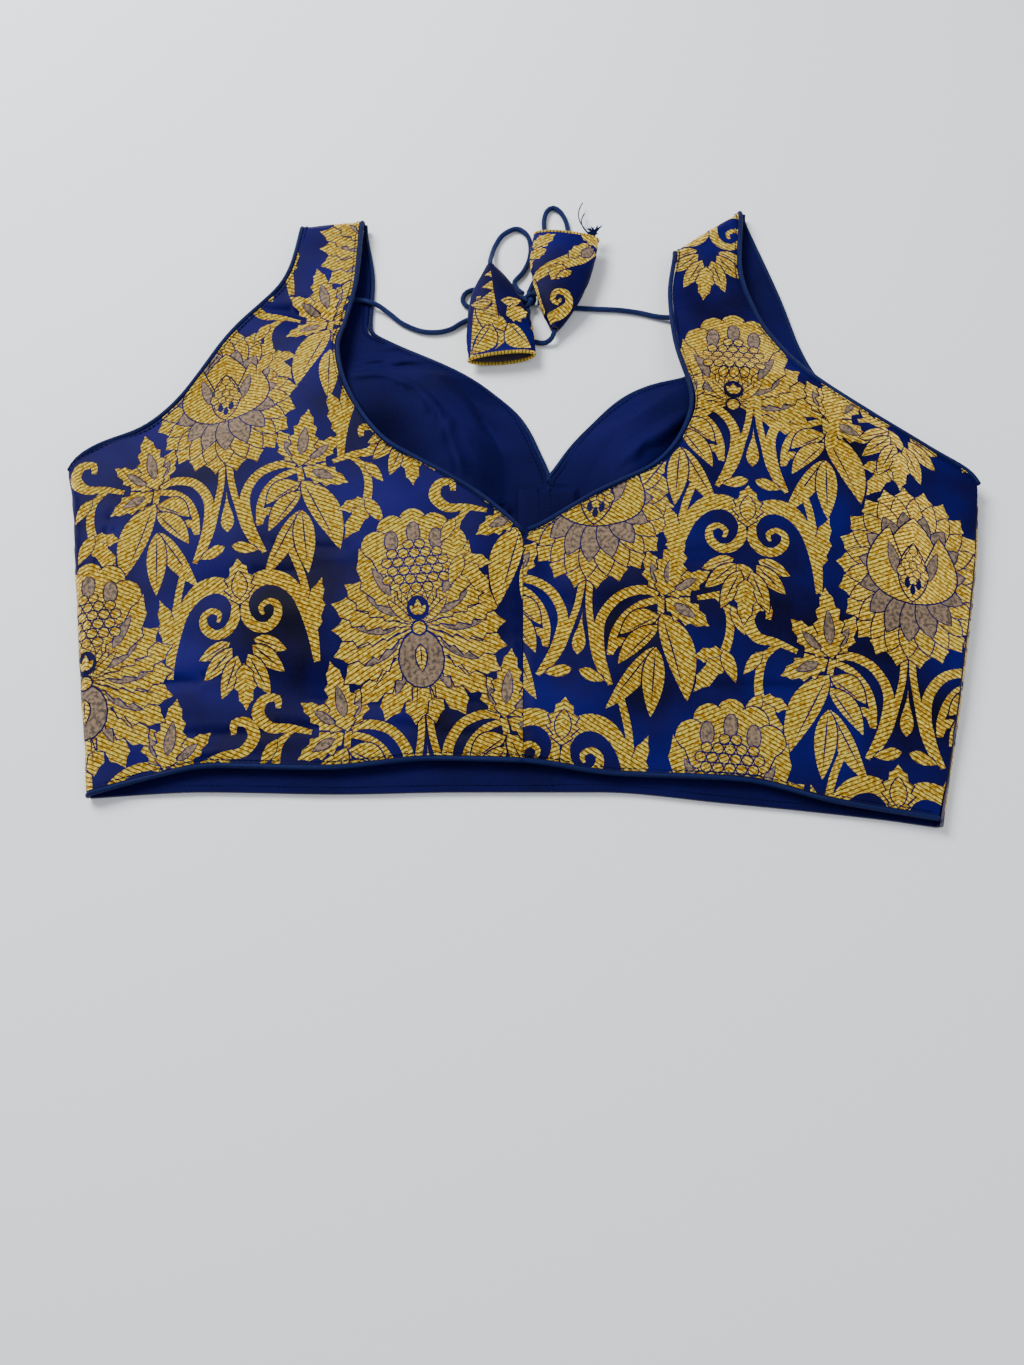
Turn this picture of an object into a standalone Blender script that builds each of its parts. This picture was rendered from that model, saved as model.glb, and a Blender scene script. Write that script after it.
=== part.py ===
"""Sleeveless choli blouse in brocade, laid flat with its back up.

Sizes are in millimetres and become metres when a mesh is made. X runs across the blouse, Y from the
hem to the shoulder folds, and Z up from the surface that it lies on. The drawing's X is measured from
the centre back seam, and the whole drawing is moved by CENTRE so that it stands over the origin.
"""

import math
from collections import namedtuple

import bmesh
import bpy
from mathutils import Vector

MM = 0.001
CENTRE = Vector((-2.05, 22.8, 0.0))

# Cloth and gaps
WALL = 1.2
SEAM = 0.3
LINING_LIFT = WALL + SEAM
LINING_TOP = LINING_LIFT + WALL
PIPING_RADIUS = 1.3
PIPED_EDGE = 2 * PIPING_RADIUS + SEAM
CORD_RADIUS = 1.4
LATKAN_WALL = 1.0

# Lines that two halves share
BACK_SEAM_X = -1.6
BACK_SEAM_GAP = 0.4
FRONT_SEAM_X = 11.8
FRONT_OPENING = 1.0
PLACKET_WIDTH = 31.0
PLACKET_LENGTH = 142.0
PLACKET_DROP = 3.0
NOTCH_Y = 24.0

# Heights of the back panels over the front
HEM_LIE = 5.6
BODY_LIE = 9.0
HEM_TO_BODY = 60.0
HEM_LEVEL = -140.0
DOME_LIFT = 8.6
SHOULDER_RADIUS = 4.6
SHOULDER_TURNS = (28.0, 56.0, 84.0)
SIDE_WRAP_BACK = 65.0
SIDE_WRAP_FRONT = 142.0
FOLD_ROWS = 1.1
ROLL_END_ROWS = 3.0

# Padded cups in the front: a bowl inside, a rim, and a long fall outside
CUP_RADIUS = 58.0
CUP_RIM = 13.0
CUP_FLOOR = 0.42
CUP_FOOT = 1.65
GORE = 17.0
GORE_SHARE = 0.2
GORE_SLOPE = 26.0
DOME_INNER = 1.08
DOME_OUTER = 2.0

# Mesh steps
ROW_STEP = 18.0
COLUMNS_BACK = 12
COLUMNS_FRONT = 10
ROLL_COLUMNS = 2
ROLL_ZONE = 6.0
HEM_BLEND = 70.0
PLACKET_STEPS = 9
PLACKET_COLUMNS = 3
CORD_ROUNDNESS = 2
PIPING_ROUNDNESS = 1
SHARP_ANGLE = 50.0
MERGE = 0.00001

Cup = namedtuple("Cup", "x y")
CUPS = (Cup(-84.5, 13.0), Cup(108.5, 12.0))

# Row: the outline's points on the left and the right, and how far the side edge wraps round
Row = namedtuple("Row", "left_x left_y right_x right_y wrap")

BACK_LEFT_ROWS = (
    Row(-205.0, -143.0, BACK_SEAM_X, -128.0, 1.0),
    Row(-209.5, -118.0, BACK_SEAM_X, -106.0, 1.0),
    Row(-217.5, -76.0, BACK_SEAM_X, -71.0, 1.0),
    Row(-225.0, -36.0, BACK_SEAM_X, -39.0, 1.0),
    Row(-233.0, 9.0, BACK_SEAM_X, -12.0, 1.0),
    Row(-237.0, 30.0, -14.0, 3.5, 0.5),
    Row(-223.0, 44.5, -33.0, 18.0, 0.0),
    Row(-202.0, 54.0, -54.0, 31.0, 0.0),
    Row(-185.5, 71.0, -70.5, 41.5, 0.0),
    Row(-174.5, 90.5, -85.0, 60.0, 0.0),
    Row(-164.5, 110.0, -95.5, 82.5, 0.0),
    Row(-151.0, 129.5, -99.5, 106.0, 0.0),
    Row(-137.0, 146.0, -96.0, 127.0, 0.0),
    Row(-131.5, 161.0, -92.0, 150.5, 0.0),
    Row(-128.0, 190.5, -91.0, 195.0, 0.0),
)
BACK_RIGHT_ROWS = (
    Row(BACK_SEAM_X, -128.0, 191.5, -156.0, 1.0),
    Row(BACK_SEAM_X, -106.0, 200.5, -126.0, 1.0),
    Row(BACK_SEAM_X, -71.0, 213.5, -76.0, 1.0),
    Row(BACK_SEAM_X, -39.0, 222.0, -44.0, 1.0),
    Row(BACK_SEAM_X, -12.0, 229.5, -9.0, 1.0),
    Row(10.0, -2.5, 234.0, 20.0, 0.7),
    Row(27.5, 8.0, 212.0, 41.0, 0.0),
    Row(48.0, 18.5, 182.0, 60.0, 0.0),
    Row(66.0, 28.5, 158.5, 78.0, 0.0),
    Row(79.5, 46.0, 145.5, 92.0, 0.0),
    Row(86.0, 67.0, 136.0, 109.0, 0.0),
    Row(80.5, 102.0, 128.0, 129.0, 0.0),
    Row(79.0, 137.0, 122.0, 157.5, 0.0),
    Row(85.0, 173.0, 126.0, 203.5, 0.0),
)
FRONT_LEFT_ROWS = (
    Row(-204.0, -143.0, FRONT_SEAM_X, -140.0, 0.0),
    Row(-211.0, -100.0, FRONT_SEAM_X, -94.0, 0.0),
    Row(-220.5, -52.0, FRONT_SEAM_X, -42.0, 0.0),
    Row(-231.0, 6.0, FRONT_SEAM_X, NOTCH_Y, 0.0),
    Row(-231.0, 33.0, 8.0, 45.0, 0.0),
    Row(-200.0, 51.0, -1.5, 65.0, 0.0),
    Row(-182.5, 69.0, -20.0, 82.5, 0.0),
    Row(-171.5, 88.0, -46.0, 98.0, 0.0),
    Row(-161.5, 107.0, -71.0, 113.0, 0.0),
    Row(-148.0, 127.0, -84.5, 124.0, 0.0),
    Row(-134.0, 147.0, -84.0, 153.0, 0.0),
    Row(-128.0, 190.5, -90.0, 195.0, 0.0),
)
FRONT_RIGHT_ROWS = (
    Row(FRONT_SEAM_X, -140.0, 191.5, -157.0, 1.0),
    Row(FRONT_SEAM_X, -104.0, 200.5, -126.0, 1.0),
    Row(FRONT_SEAM_X, -60.0, 213.5, -76.0, 1.0),
    Row(FRONT_SEAM_X, -26.0, 222.0, -44.0, 1.0),
    Row(FRONT_SEAM_X, NOTCH_Y, 229.5, -9.0, 1.0),
    Row(16.0, 36.0, 234.0, 20.0, 0.7),
    Row(30.5, 55.5, 211.0, 38.5, 0.0),
    Row(48.0, 70.5, 187.0, 55.0, 0.0),
    Row(67.0, 79.5, 171.5, 73.0, 0.0),
    Row(87.0, 86.0, 161.0, 88.0, 0.0),
    Row(92.0, 108.0, 152.0, 111.0, 0.0),
    Row(91.5, 136.0, 145.5, 140.0, 0.0),
    Row(86.0, 173.0, 127.5, 203.5, 0.0),
)

# Hems: the lower edge of the back's piping, and the front's edge below it
HemPoint = namedtuple("HemPoint", "x y")
BACK_HEM = (
    HemPoint(-205.0, -144.0),
    HemPoint(-175.0, -135.5),
    HemPoint(-148.0, -130.0),
    HemPoint(-96.0, -131.0),
    HemPoint(-44.0, -126.5),
    HemPoint(-2.0, -127.5),
    HemPoint(39.0, -133.5),
    HemPoint(100.0, -136.5),
    HemPoint(143.0, -147.0),
    HemPoint(191.5, -155.5),
)
FRONT_HEM = (
    HemPoint(-205.0, -143.0),
    HemPoint(-151.0, -140.0),
    HemPoint(-87.0, -141.0),
    HemPoint(-31.0, -140.0),
    HemPoint(34.0, -140.0),
    HemPoint(90.0, -145.0),
    HemPoint(164.0, -153.0),
    HemPoint(191.5, -157.0),
)

# Folds: a soft ridge (or trough, where the height is below zero) along its heading in degrees
Fold = namedtuple("Fold", "x y heading length width height")
BACK_FOLDS = (
    Fold(-118.0, 124.0, -8.0, 90.0, 26.0, -3.0),
    Fold(108.0, 100.0, -8.0, 80.0, 24.0, -2.4),
    Fold(-120.0, -38.0, 6.0, 150.0, 34.0, -2.2),
    Fold(-100.0, -98.0, -3.0, 190.0, 34.0, -1.8),
    Fold(-40.0, -66.0, 20.0, 90.0, 30.0, 1.6),
    Fold(42.0, -54.0, -12.0, 110.0, 32.0, -2.0),
    Fold(120.0, -70.0, 4.0, 130.0, 36.0, -2.0),
    Fold(186.0, -40.0, -70.0, 110.0, 32.0, 1.5),
    Fold(-206.0, -30.0, 84.0, 150.0, 26.0, 1.4),
    Fold(150.0, 40.0, -35.0, 90.0, 30.0, -1.6),
    Fold(-160.0, 60.0, 42.0, 100.0, 30.0, -1.6),
)
FRONT_FOLDS = (
    Fold(-42.0, 84.0, -33.0, 110.0, 44.0, 5.0),
    Fold(58.0, 68.0, 30.0, 84.0, 36.0, 4.5),
)

# How far above its corner each neck piping starts, so that the two halves stay clear
NECK_TRIMS = {
    ("back", "left"): 3.0,
    ("back", "right"): 5.5,
    ("front", "left"): 13.5,
    ("front", "right"): 13.5,
}

# How much of its last step each neck and armhole piping runs before the shoulder fold hides it
FOLD_PIPING_SHARE = 0.7

# Rings of a latkan, from the tied tip to the open mouth
Ring = namedtuple("Ring", "share half_width half_height")
LATKAN_RINGS = (
    Ring(0.0, 2.4, 2.4),
    Ring(0.06, 4.8, 3.1),
    Ring(0.2, 9.5, 4.2),
    Ring(0.4, 14.2, 5.0),
    Ring(0.62, 17.4, 5.5),
    Ring(0.82, 18.9, 5.5),
    Ring(1.0, 18.5, 5.0),
)
LATKAN_SIDES = 14
LATKAN_STEPS = 8
LATKAN_TIP_SHARE = 0.35
LATKAN_MOUTH_SHARE = 0.55

Place = namedtuple("Place", "tip mouth tip_z middle_z mouth_z")
LATKAN_LEFT = Place(Vector((-19.0, 161.0)), Vector((-12.0, 101.0)), 8.2, 9.2, 5.8)
LATKAN_RIGHT = Place(Vector((16.6, 120.0)), Vector((23.6, 180.0)), 5.4, 9.2, 9.2)

# The bow: a knot, and cords that run to it, each by the way it faces round the knot
KNOT = Vector((2.0, 141.0, 4.0))
KNOT_RADIUS = 5.2
KNOT_HALF_HEIGHT = 3.4
KNOT_CORD_DROP = 0.6
KNOT_SEGMENTS = 14
KNOT_RINGS = 8
LOW = 1.8
OVER = LINING_TOP + SEAM + CORD_RADIUS

Colour = namedtuple("Colour", "red green blue roughness metallic")
BROCADE = Colour(0.16, 0.10, 0.07, 0.45, 0.25)
NAVY_LINING = Colour(0.006, 0.014, 0.10, 0.75, 0.0)
NAVY_BIAS = Colour(0.008, 0.025, 0.13, 0.6, 0.0)


def eased(share):
    """A share from 0 to 1, eased at both ends."""
    share = min(1.0, max(0.0, share))
    return share * share * (3.0 - 2.0 * share)


def mixed(low, high, share):
    return low + (high - low) * share


def curve_through(values, knots, at):
    """A smooth curve through values at their knots, which flattens at turning points."""
    last = len(knots) - 1
    index = min(max(sum(1 for knot in knots if knot <= at) - 1, 0), last - 1)
    slopes = [(values[i + 1] - values[i]) / (knots[i + 1] - knots[i]) for i in range(last)]

    def tangent(i):
        if i == 0:
            return slopes[0]
        if i == last:
            return slopes[-1]
        before, after = slopes[i - 1], slopes[i]
        if before * after <= 0.0:
            return 0.0
        return 2.0 * before * after / (before + after)

    span = knots[index + 1] - knots[index]
    share = min(1.0, max(0.0, (at - knots[index]) / span))
    square, cube = share * share, share * share * share
    return (
        (2 * cube - 3 * square + 1) * values[index]
        + (cube - 2 * square + share) * span * tangent(index)
        + (3 * square - 2 * cube) * values[index + 1]
        + (cube - square) * span * tangent(index + 1)
    )


def hem_level(hem, x):
    return curve_through([point.y for point in hem], [point.x for point in hem], x)


def fold_height(folds, x, y):
    """The sum of the folds' heights at a place."""
    total = 0.0
    for fold in folds:
        turn = math.radians(fold.heading)
        along = (x - fold.x) * math.cos(turn) + (y - fold.y) * math.sin(turn)
        aside = (y - fold.y) * math.cos(turn) - (x - fold.x) * math.sin(turn)
        reach = (2 * along / fold.length) ** 2 + (2 * aside / fold.width) ** 2
        if reach < 1.0:
            total += fold.height * (1.0 - reach) ** 2
    return total


def cup_reach(cup, x, y):
    return math.hypot(x - cup.x, y - cup.y) / CUP_RADIUS


def front_height(x, y):
    """The underside of the front: flat but for the bowls of the cups and the neckline's puff."""
    rise = 0.0
    for cup in CUPS:
        reach = cup_reach(cup, x, y)
        inside = eased((reach - CUP_FLOOR) / (1.0 - CUP_FLOOR))
        outside = 1.0 - eased((reach - 1.0) / (CUP_FOOT - 1.0))
        rise = max(rise, CUP_RIM * min(inside, outside))
    gore = eased((abs(x - FRONT_SEAM_X) - GORE) / GORE_SLOPE)
    return gore * (rise + fold_height(FRONT_FOLDS, x, y))


def back_height(x, y):
    """The underside of the back, which bridges the cups and lies low at the hem."""
    lie = mixed(HEM_LIE, BODY_LIE, eased((y - HEM_LEVEL) / HEM_TO_BODY))
    bare = 1.0
    for cup in CUPS:
        bare *= eased((cup_reach(cup, x, y) - DOME_INNER) / (DOME_OUTER - DOME_INNER))
    return lie + DOME_LIFT * (1.0 - bare) + fold_height(BACK_FOLDS, x, y)


class Panel:
    """A half of the back or of the front: rows from the hem to the shoulder fold."""

    def __init__(self, rows, side, is_back, hem, neck_row, arm_row, arm_piping_row):
        self.side = side
        self.is_back = is_back
        self.hem = hem
        self.hem_edge = PIPED_EDGE if is_back else 0.0
        self.seam_gap = BACK_SEAM_GAP if is_back else FRONT_OPENING
        self.neck_row = neck_row
        self.arm_row = arm_row
        self.arm_piping_row = arm_piping_row
        left = self.inset([Vector((row.left_x, row.left_y)) for row in rows], 1)
        right = self.inset([Vector((row.right_x, row.right_y)) for row in rows], -1)
        self.wraps = [row.wrap for row in rows]
        fold_way = (right[-1] - left[-1]).normalized()
        left[-1] = left[-1] + fold_way * PIPED_EDGE
        right[-1] = right[-1] - fold_way * PIPED_EDGE
        strap_way = (left[-1] + right[-1] - left[-2] - right[-2]).normalized()
        self.outward = strap_way / strap_way.dot(Vector((-fold_way.y, fold_way.x)))
        left[-1] = left[-1] - self.outward * SHOULDER_RADIUS
        right[-1] = right[-1] - self.outward * SHOULDER_RADIUS
        outer = left if side == "left" else right
        self.left, self.right = left, right
        self.rows = self.row_positions(outer)

    def inset(self, points, turn):
        """The cloth's edge, which lies inside the outline by the piping's width where it is piped."""
        is_outer = (turn == 1) == (self.side == "left")
        first = self.arm_row if is_outer else self.neck_row
        moved = []
        for i, point in enumerate(points):
            before, after = points[max(i - 1, 0)], points[min(i + 1, len(points) - 1)]
            way = (after - before).normalized()
            inward = Vector((way.y, -way.x)) * turn
            if i == len(points) - 1:
                moved.append(point.copy())
            elif i > first:
                moved.append(point + inward * PIPED_EDGE)
            elif is_outer:
                moved.append(point.copy())
            else:
                drop = PIPED_EDGE if i == first else 0.0
                moved.append(point + Vector((turn * self.seam_gap / 2, -drop)))
        return moved

    @staticmethod
    def row_positions(outer):
        """Row numbers, with fractions, about ROW_STEP apart along the outer edge."""
        positions = [0.0]
        for i in range(len(outer) - 1):
            parts = max(1, round((outer[i + 1] - outer[i]).length / ROW_STEP))
            positions += [i + (part + 1) / parts for part in range(parts)]
        return positions

    def ends(self, at):
        """The left and right ends of the row at a row number."""
        knots = list(range(len(self.left)))
        return [
            Vector([curve_through([point[axis] for point in edge], knots, at) for axis in (0, 1)])
            for edge in (self.left, self.right)
        ]

    def wrap(self, at):
        knots = list(range(len(self.wraps)))
        return curve_through(self.wraps, knots, at)

    def side_roll(self, wrap, width, at, edge_height):
        """(distance in, change of height) of the columns that turn round the side fold.

        A left back wraps down to the front's edge. The front's right half wraps up, and the right
        back meets it on top of the fold. Rows above the side seam lie flat.
        """
        steps = ROLL_COLUMNS if self.is_back else ROLL_COLUMNS * 2
        count = COLUMNS_BACK if self.is_back else COLUMNS_FRONT
        even = width * steps / (count + steps)
        flat_row = self.wraps.index(0.0)
        zone = mixed(ROLL_ZONE, even, eased((at - flat_row) / ROLL_END_ROWS))
        turns = []
        for i in range(steps + 1):
            if self.is_back:
                down = self.side == "left"
                radius = edge_height - LINING_TOP - SEAM if down else (edge_height - WALL) / 2
                angle = math.radians(mixed(0.0 if down else SIDE_WRAP_BACK, 90.0, i / steps))
                wrapped = (WALL + radius * (1 - math.cos(angle)), -radius * (1 - math.sin(angle)))
            else:
                radius = (edge_height + WALL) / 2
                angle = math.radians(SIDE_WRAP_FRONT * (1 - i / steps))
                wrapped = (radius * (1 - math.sin(angle)), radius * (1 - math.cos(angle)))
            turns.append((mixed(zone * i / steps, wrapped[0], wrap), wrapped[1] * wrap))
        return turns

    def columns(self, width, at, edge_height):
        """(distance in from the side outline, change of height) across a row, side edge first."""
        roll, inner = [], 0.0
        if any(self.wraps):
            *roll, (inner, _) = self.side_roll(self.wrap(at), width, at, edge_height)
        count = COLUMNS_BACK if self.is_back else COLUMNS_FRONT
        gore = 0.0 if self.is_back else min(GORE, width * GORE_SHARE)
        flat = [(mixed(inner, width - gore, i / count), 0.0) for i in range(count + 1)]
        return roll + flat + ([] if self.is_back else [(width, 0.0)])

    def surface_row(self, at):
        """The points of the wall's underside along one row."""
        left, right = self.ends(at)
        width = (right - left).length
        start, way = (left, right - left) if self.side == "left" else (right, left - right)
        way = way / width
        edge_height = back_height(start.x, start.y)
        near_fold = eased(1.0 - (len(self.left) - 1 - at) / FOLD_ROWS)
        fold_lie = 2 * SHOULDER_RADIUS - WALL
        points = []
        for distance, change in self.columns(width, at, edge_height):
            place = start + way * distance
            shift = self.hem_shift(place, at)
            if self.is_back:
                lie = mixed(back_height(place.x, place.y), fold_lie, near_fold)
                if self.wrap(at) > 0.0 and change < 0.0:
                    lie = edge_height
                height = lie + change
            elif change > 0.0:
                height = change
            else:
                height = front_height(place.x, place.y) * (1.0 - near_fold)
            points.append(Vector((place.x, place.y + shift, height)))
        return points if self.side == "left" else points[::-1]

    def hem_shift(self, place, at):
        """How far a row near the hem bends to follow the hem's own curve."""
        left, right = self.ends(0.0)
        share = (place.x - left.x) / (right.x - left.x)
        straight = mixed(left.y, right.y, share)
        depth = max(0.0, place.y - straight) / HEM_BLEND
        target = hem_level(self.hem, place.x) + self.hem_edge
        return (target - straight) * (1.0 - eased(depth))

    def grid(self):
        """All the rows of the wall's underside, with the turned rows of the shoulder fold last."""
        rows = [self.surface_row(at) for at in self.rows]
        fold_start = rows[-1]
        push = Vector((self.outward.x, self.outward.y, 0.0))
        for angle in SHOULDER_TURNS:
            turn = math.radians(angle)
            if self.is_back:
                radius = SHOULDER_RADIUS - WALL
                out, height = radius * math.sin(turn), SHOULDER_RADIUS + radius * math.cos(turn)
            else:
                out = SHOULDER_RADIUS * math.sin(turn)
                height = SHOULDER_RADIUS * (1 - math.cos(turn))
            rows.append([Vector((p.x, p.y, height)) + push * out for p in fold_start])
        return rows


BACK_LEFT = Panel(BACK_LEFT_ROWS, "left", True, BACK_HEM, 4, 5, 5)
BACK_RIGHT = Panel(BACK_RIGHT_ROWS, "right", True, BACK_HEM, 4, 5, 5)
FRONT_LEFT = Panel(FRONT_LEFT_ROWS, "left", False, FRONT_HEM, 3, 4, 4)
FRONT_RIGHT = Panel(FRONT_RIGHT_ROWS, "right", False, FRONT_HEM, 4, 5, 6)


def clear_scene():
    for old in list(bpy.data.objects):
        bpy.data.objects.remove(old, do_unlink=True)


def material(name, colour):
    made = bpy.data.materials.new(name)
    made.use_nodes = True
    shader = made.node_tree.nodes["Principled BSDF"]
    shader.inputs["Base Color"].default_value = (colour.red, colour.green, colour.blue, 1.0)
    shader.inputs["Roughness"].default_value = colour.roughness
    shader.inputs["Metallic"].default_value = colour.metallic
    return made


def added(name, data, collection, colour):
    made = bpy.data.objects.new(name, data)
    data.materials.append(material(name + "_finish", colour))
    collection.objects.link(made)
    return made


def grid_mesh(rows):
    """A bmesh grid whose vertices stand at the rows' points."""
    across, along = len(rows[0]) - 1, len(rows) - 1
    sheet = bmesh.new()
    bmesh.ops.create_grid(sheet, x_segments=across, y_segments=along, size=1.0)
    for vertex in sheet.verts:
        column = round((vertex.co.x + 1) / 2 * across)
        row = round((vertex.co.y + 1) / 2 * along)
        vertex.co = rows[row][column]
    sheet.normal_update()
    return sheet


def cloth(name, rows, collection, colour, lift=0.0, wall=WALL):
    """A cloth wall: an open surface through the rows, lifted along its normals, and thickened."""
    sheet = grid_mesh(rows)
    lifted = [vertex.co + vertex.normal * lift for vertex in sheet.verts]
    for vertex, place in zip(sheet.verts, lifted):
        vertex.co = (place - CENTRE) * MM
    mesh = bpy.data.meshes.new(name)
    sheet.to_mesh(mesh)
    sheet.free()
    made = added(name, mesh, collection, colour)
    thick = made.modifiers.new("Wall", "SOLIDIFY")
    thick.thickness = wall * MM
    thick.offset = 1.0
    mesh.shade_smooth()
    mesh.set_sharp_from_angle(angle=math.radians(SHARP_ANGLE))
    return made


def tube(name, points, radius, collection, colour):
    """A round tube through the points."""
    curve = bpy.data.curves.new(name, "CURVE")
    curve.dimensions = "3D"
    curve.bevel_depth = radius * MM
    curve.bevel_resolution = CORD_ROUNDNESS if name in CORD_ROUTES else PIPING_ROUNDNESS
    curve.use_fill_caps = True
    spline = curve.splines.new("POLY")
    spline.points.add(len(points) - 1)
    for target, point in zip(spline.points, points):
        target.co = (*((point - CENTRE) * MM), 1.0)
    return added(name, curve, collection, colour)


def edge_frames(rows, edge, first):
    """(place, out, run, up) along a panel's edge: away from the cloth, along it, and off its face."""
    frames = []
    if edge == "hem":
        hem, last = rows[0], len(rows[0]) - 1
        for i, place in enumerate(hem):
            run = (hem[min(i + 1, last)] - hem[max(i - 1, 0)]).normalized()
            forward = rows[1][i] - place
            frames.append((place, -forward, run, run.cross(forward).normalized()))
    else:
        own, inner = (0, 1) if edge == "left" else (-1, -2)
        last = len(rows) - 1
        for i in range(first, last + 1):
            run = (rows[min(i + 1, last)][own] - rows[max(i - 1, first)][own]).normalized()
            out = rows[i][own] - rows[i][inner]
            across = -out if edge == "left" else out
            frames.append((rows[i][own], out, run, across.cross(run).normalized()))
    return frames


def edge_piping(name, rows, edge, first, trim, collection, thickness=WALL):
    """Piping along a panel's neck, armhole or hem edge, just outside the cloth."""
    centres = []
    frames = edge_frames(rows, edge, first)
    places = [frame[0] for frame in frames]
    for i, (place, out, run, up) in enumerate(frames):
        out = (out - run * out.dot(run)).normalized()
        before, after = places[max(i - 1, 0)], places[min(i + 1, len(places) - 1)]
        is_inner = 0 < i < len(places) - 1
        half_turn = (place - before).angle(after - place, 0.0) / 2 if is_inner else 0.0
        clearance = (SEAM + PIPING_RADIUS) / math.cos(half_turn)
        centre = place + out * clearance + up * thickness / 2
        centre.z = max(centre.z, PIPING_RADIUS)
        centres.append(centre)
    centres[0] = centres[0] + (centres[1] - centres[0]).normalized() * trim
    if edge != "hem":
        centres[-1] = centres[-2].lerp(centres[-1], FOLD_PIPING_SHARE)
    return tube(name, centres, PIPING_RADIUS, collection, NAVY_BIAS)


def around_knot(degrees):
    """The point where a cord that faces this way meets the knot."""
    turn = math.radians(degrees)
    reach = KNOT_RADIUS + SEAM * 2
    way = Vector((math.cos(turn), math.sin(turn), 0.0))
    return KNOT + way * reach - Vector((0.0, 0.0, KNOT_CORD_DROP))


CORD_ROUTES = {
    "dori_left": [
        Vector((-99.0, 141.0, OVER)),
        Vector((-91.0, 140.5, OVER)),
        Vector((-82.5, 138.0, OVER - 0.4)),
        Vector((-75.0, 133.0, LOW + 0.6)),
        Vector((-68.0, 127.0, LOW)),
        Vector((-58.0, 122.0, LOW)),
        Vector((-49.0, 121.0, LOW)),
        Vector((-41.0, 123.0, LOW)),
        Vector((-34.0, 128.0, LOW)),
        Vector((-26.0, 131.5, LOW)),
        Vector((-16.0, 132.0, LOW)),
        Vector((-7.0, 134.0, LOW + 0.4)),
        around_knot(222),
    ],
    "bow_loop_left": [
        around_knot(188),
        Vector((-12.0, 139.4, LOW + 0.3)),
        Vector((-22.0, 138.4, LOW)),
        Vector((-30.5, 138.0, LOW)),
        Vector((-34.3, 141.6, LOW)),
        Vector((-33.8, 146.6, LOW)),
        Vector((-30.0, 149.8, LOW)),
        Vector((-23.0, 150.0, LOW)),
        Vector((-12.0, 147.6, LOW + 0.3)),
        around_knot(153),
    ],
    "bow_loop_right": [
        around_knot(84),
        Vector((4.6, 153.0, LOW + 0.3)),
        Vector((8.0, 162.0, LOW)),
        Vector((11.0, 173.0, LOW)),
        Vector((12.4, 184.0, LOW)),
        Vector((11.8, 192.0, LOW)),
        Vector((11.8, 200.5, LOW)),
        Vector((13.6, 206.8, LOW)),
        Vector((17.2, 209.4, LOW)),
        Vector((21.2, 206.4, LOW)),
        Vector((24.3, 199.5, LOW)),
        Vector((25.4, 192.0, LOW)),
        Vector((25.2, 183.0, LOW)),
        Vector((22.0, 170.0, LOW)),
        Vector((15.5, 156.5, LOW)),
        around_knot(48),
    ],
    "dori_right": [
        Vector((96.0, 129.5, OVER)),
        Vector((88.0, 129.7, OVER - 0.2)),
        Vector((80.0, 130.4, LOW + 0.8)),
        Vector((72.8, 131.9, LOW)),
        Vector((64.5, 134.2, LOW)),
        Vector((52.3, 136.2, LOW)),
        Vector((38.4, 136.9, LOW)),
        Vector((26.0, 137.8, LOW)),
        Vector((15.0, 139.4, LOW + 0.4)),
        around_knot(350),
    ],
    "tail_left": [
        around_knot(118),
        Vector((-4.2, 150.6, LOW + 0.4)),
        Vector((-5.4, 155.6, LOW)),
        Vector((-0.6, 162.4, LOW)),
        Vector((3.0, 171.6, LOW)),
        Vector((3.8, 181.0, LOW)),
        Vector((1.7, 189.4, LOW)),
        Vector((-4.3, 193.8, LOW)),
        Vector((-12.0, 189.4, LOW)),
        Vector((-16.6, 181.0, LOW)),
        Vector((-18.6, 172.0, LOW + 2.0)),
        Vector((-19.2, 165.6, LOW + 5.2)),
        Vector((-19.05, 161.7, LATKAN_LEFT.tip_z)),
    ],
    "tail_right": [
        around_knot(272),
        Vector((1.8, 128.5, LOW + 0.3)),
        Vector((0.6, 122.0, LOW)),
        Vector((2.2, 117.0, LOW)),
        Vector((7.0, 114.2, LOW)),
        Vector((12.0, 113.8, LOW + 0.5)),
        Vector((15.2, 115.8, LOW + 2.2)),
        Vector((16.5, 119.3, LATKAN_RIGHT.tip_z)),
    ],
}
CORD_STEP = 6.0


def smooth_route(points):
    """Points about CORD_STEP apart on a smooth curve through a cord's own points."""
    route = []
    last = len(points) - 1
    for i in range(last):
        before, start = points[max(i - 1, 0)], points[i]
        end, after = points[i + 1], points[min(i + 2, last)]
        parts = max(1, round((end - start).length / CORD_STEP))
        for part in range(parts):
            t = part / parts
            route.append(
                start
                + (end - before) * (t / 2)
                + (before * 2 - start * 5 + end * 4 - after) * (t * t / 2)
                + (start * 3 - before - end * 3 + after) * (t * t * t / 2)
            )
    return route + [points[-1]]


def latkan_height(place, share):
    if share < LATKAN_TIP_SHARE:
        return mixed(place.tip_z, place.middle_z, eased(share / LATKAN_TIP_SHARE))
    beyond = (share - LATKAN_MOUTH_SHARE) / (1.0 - LATKAN_MOUTH_SHARE)
    return mixed(place.middle_z, place.mouth_z, eased(beyond))


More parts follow.
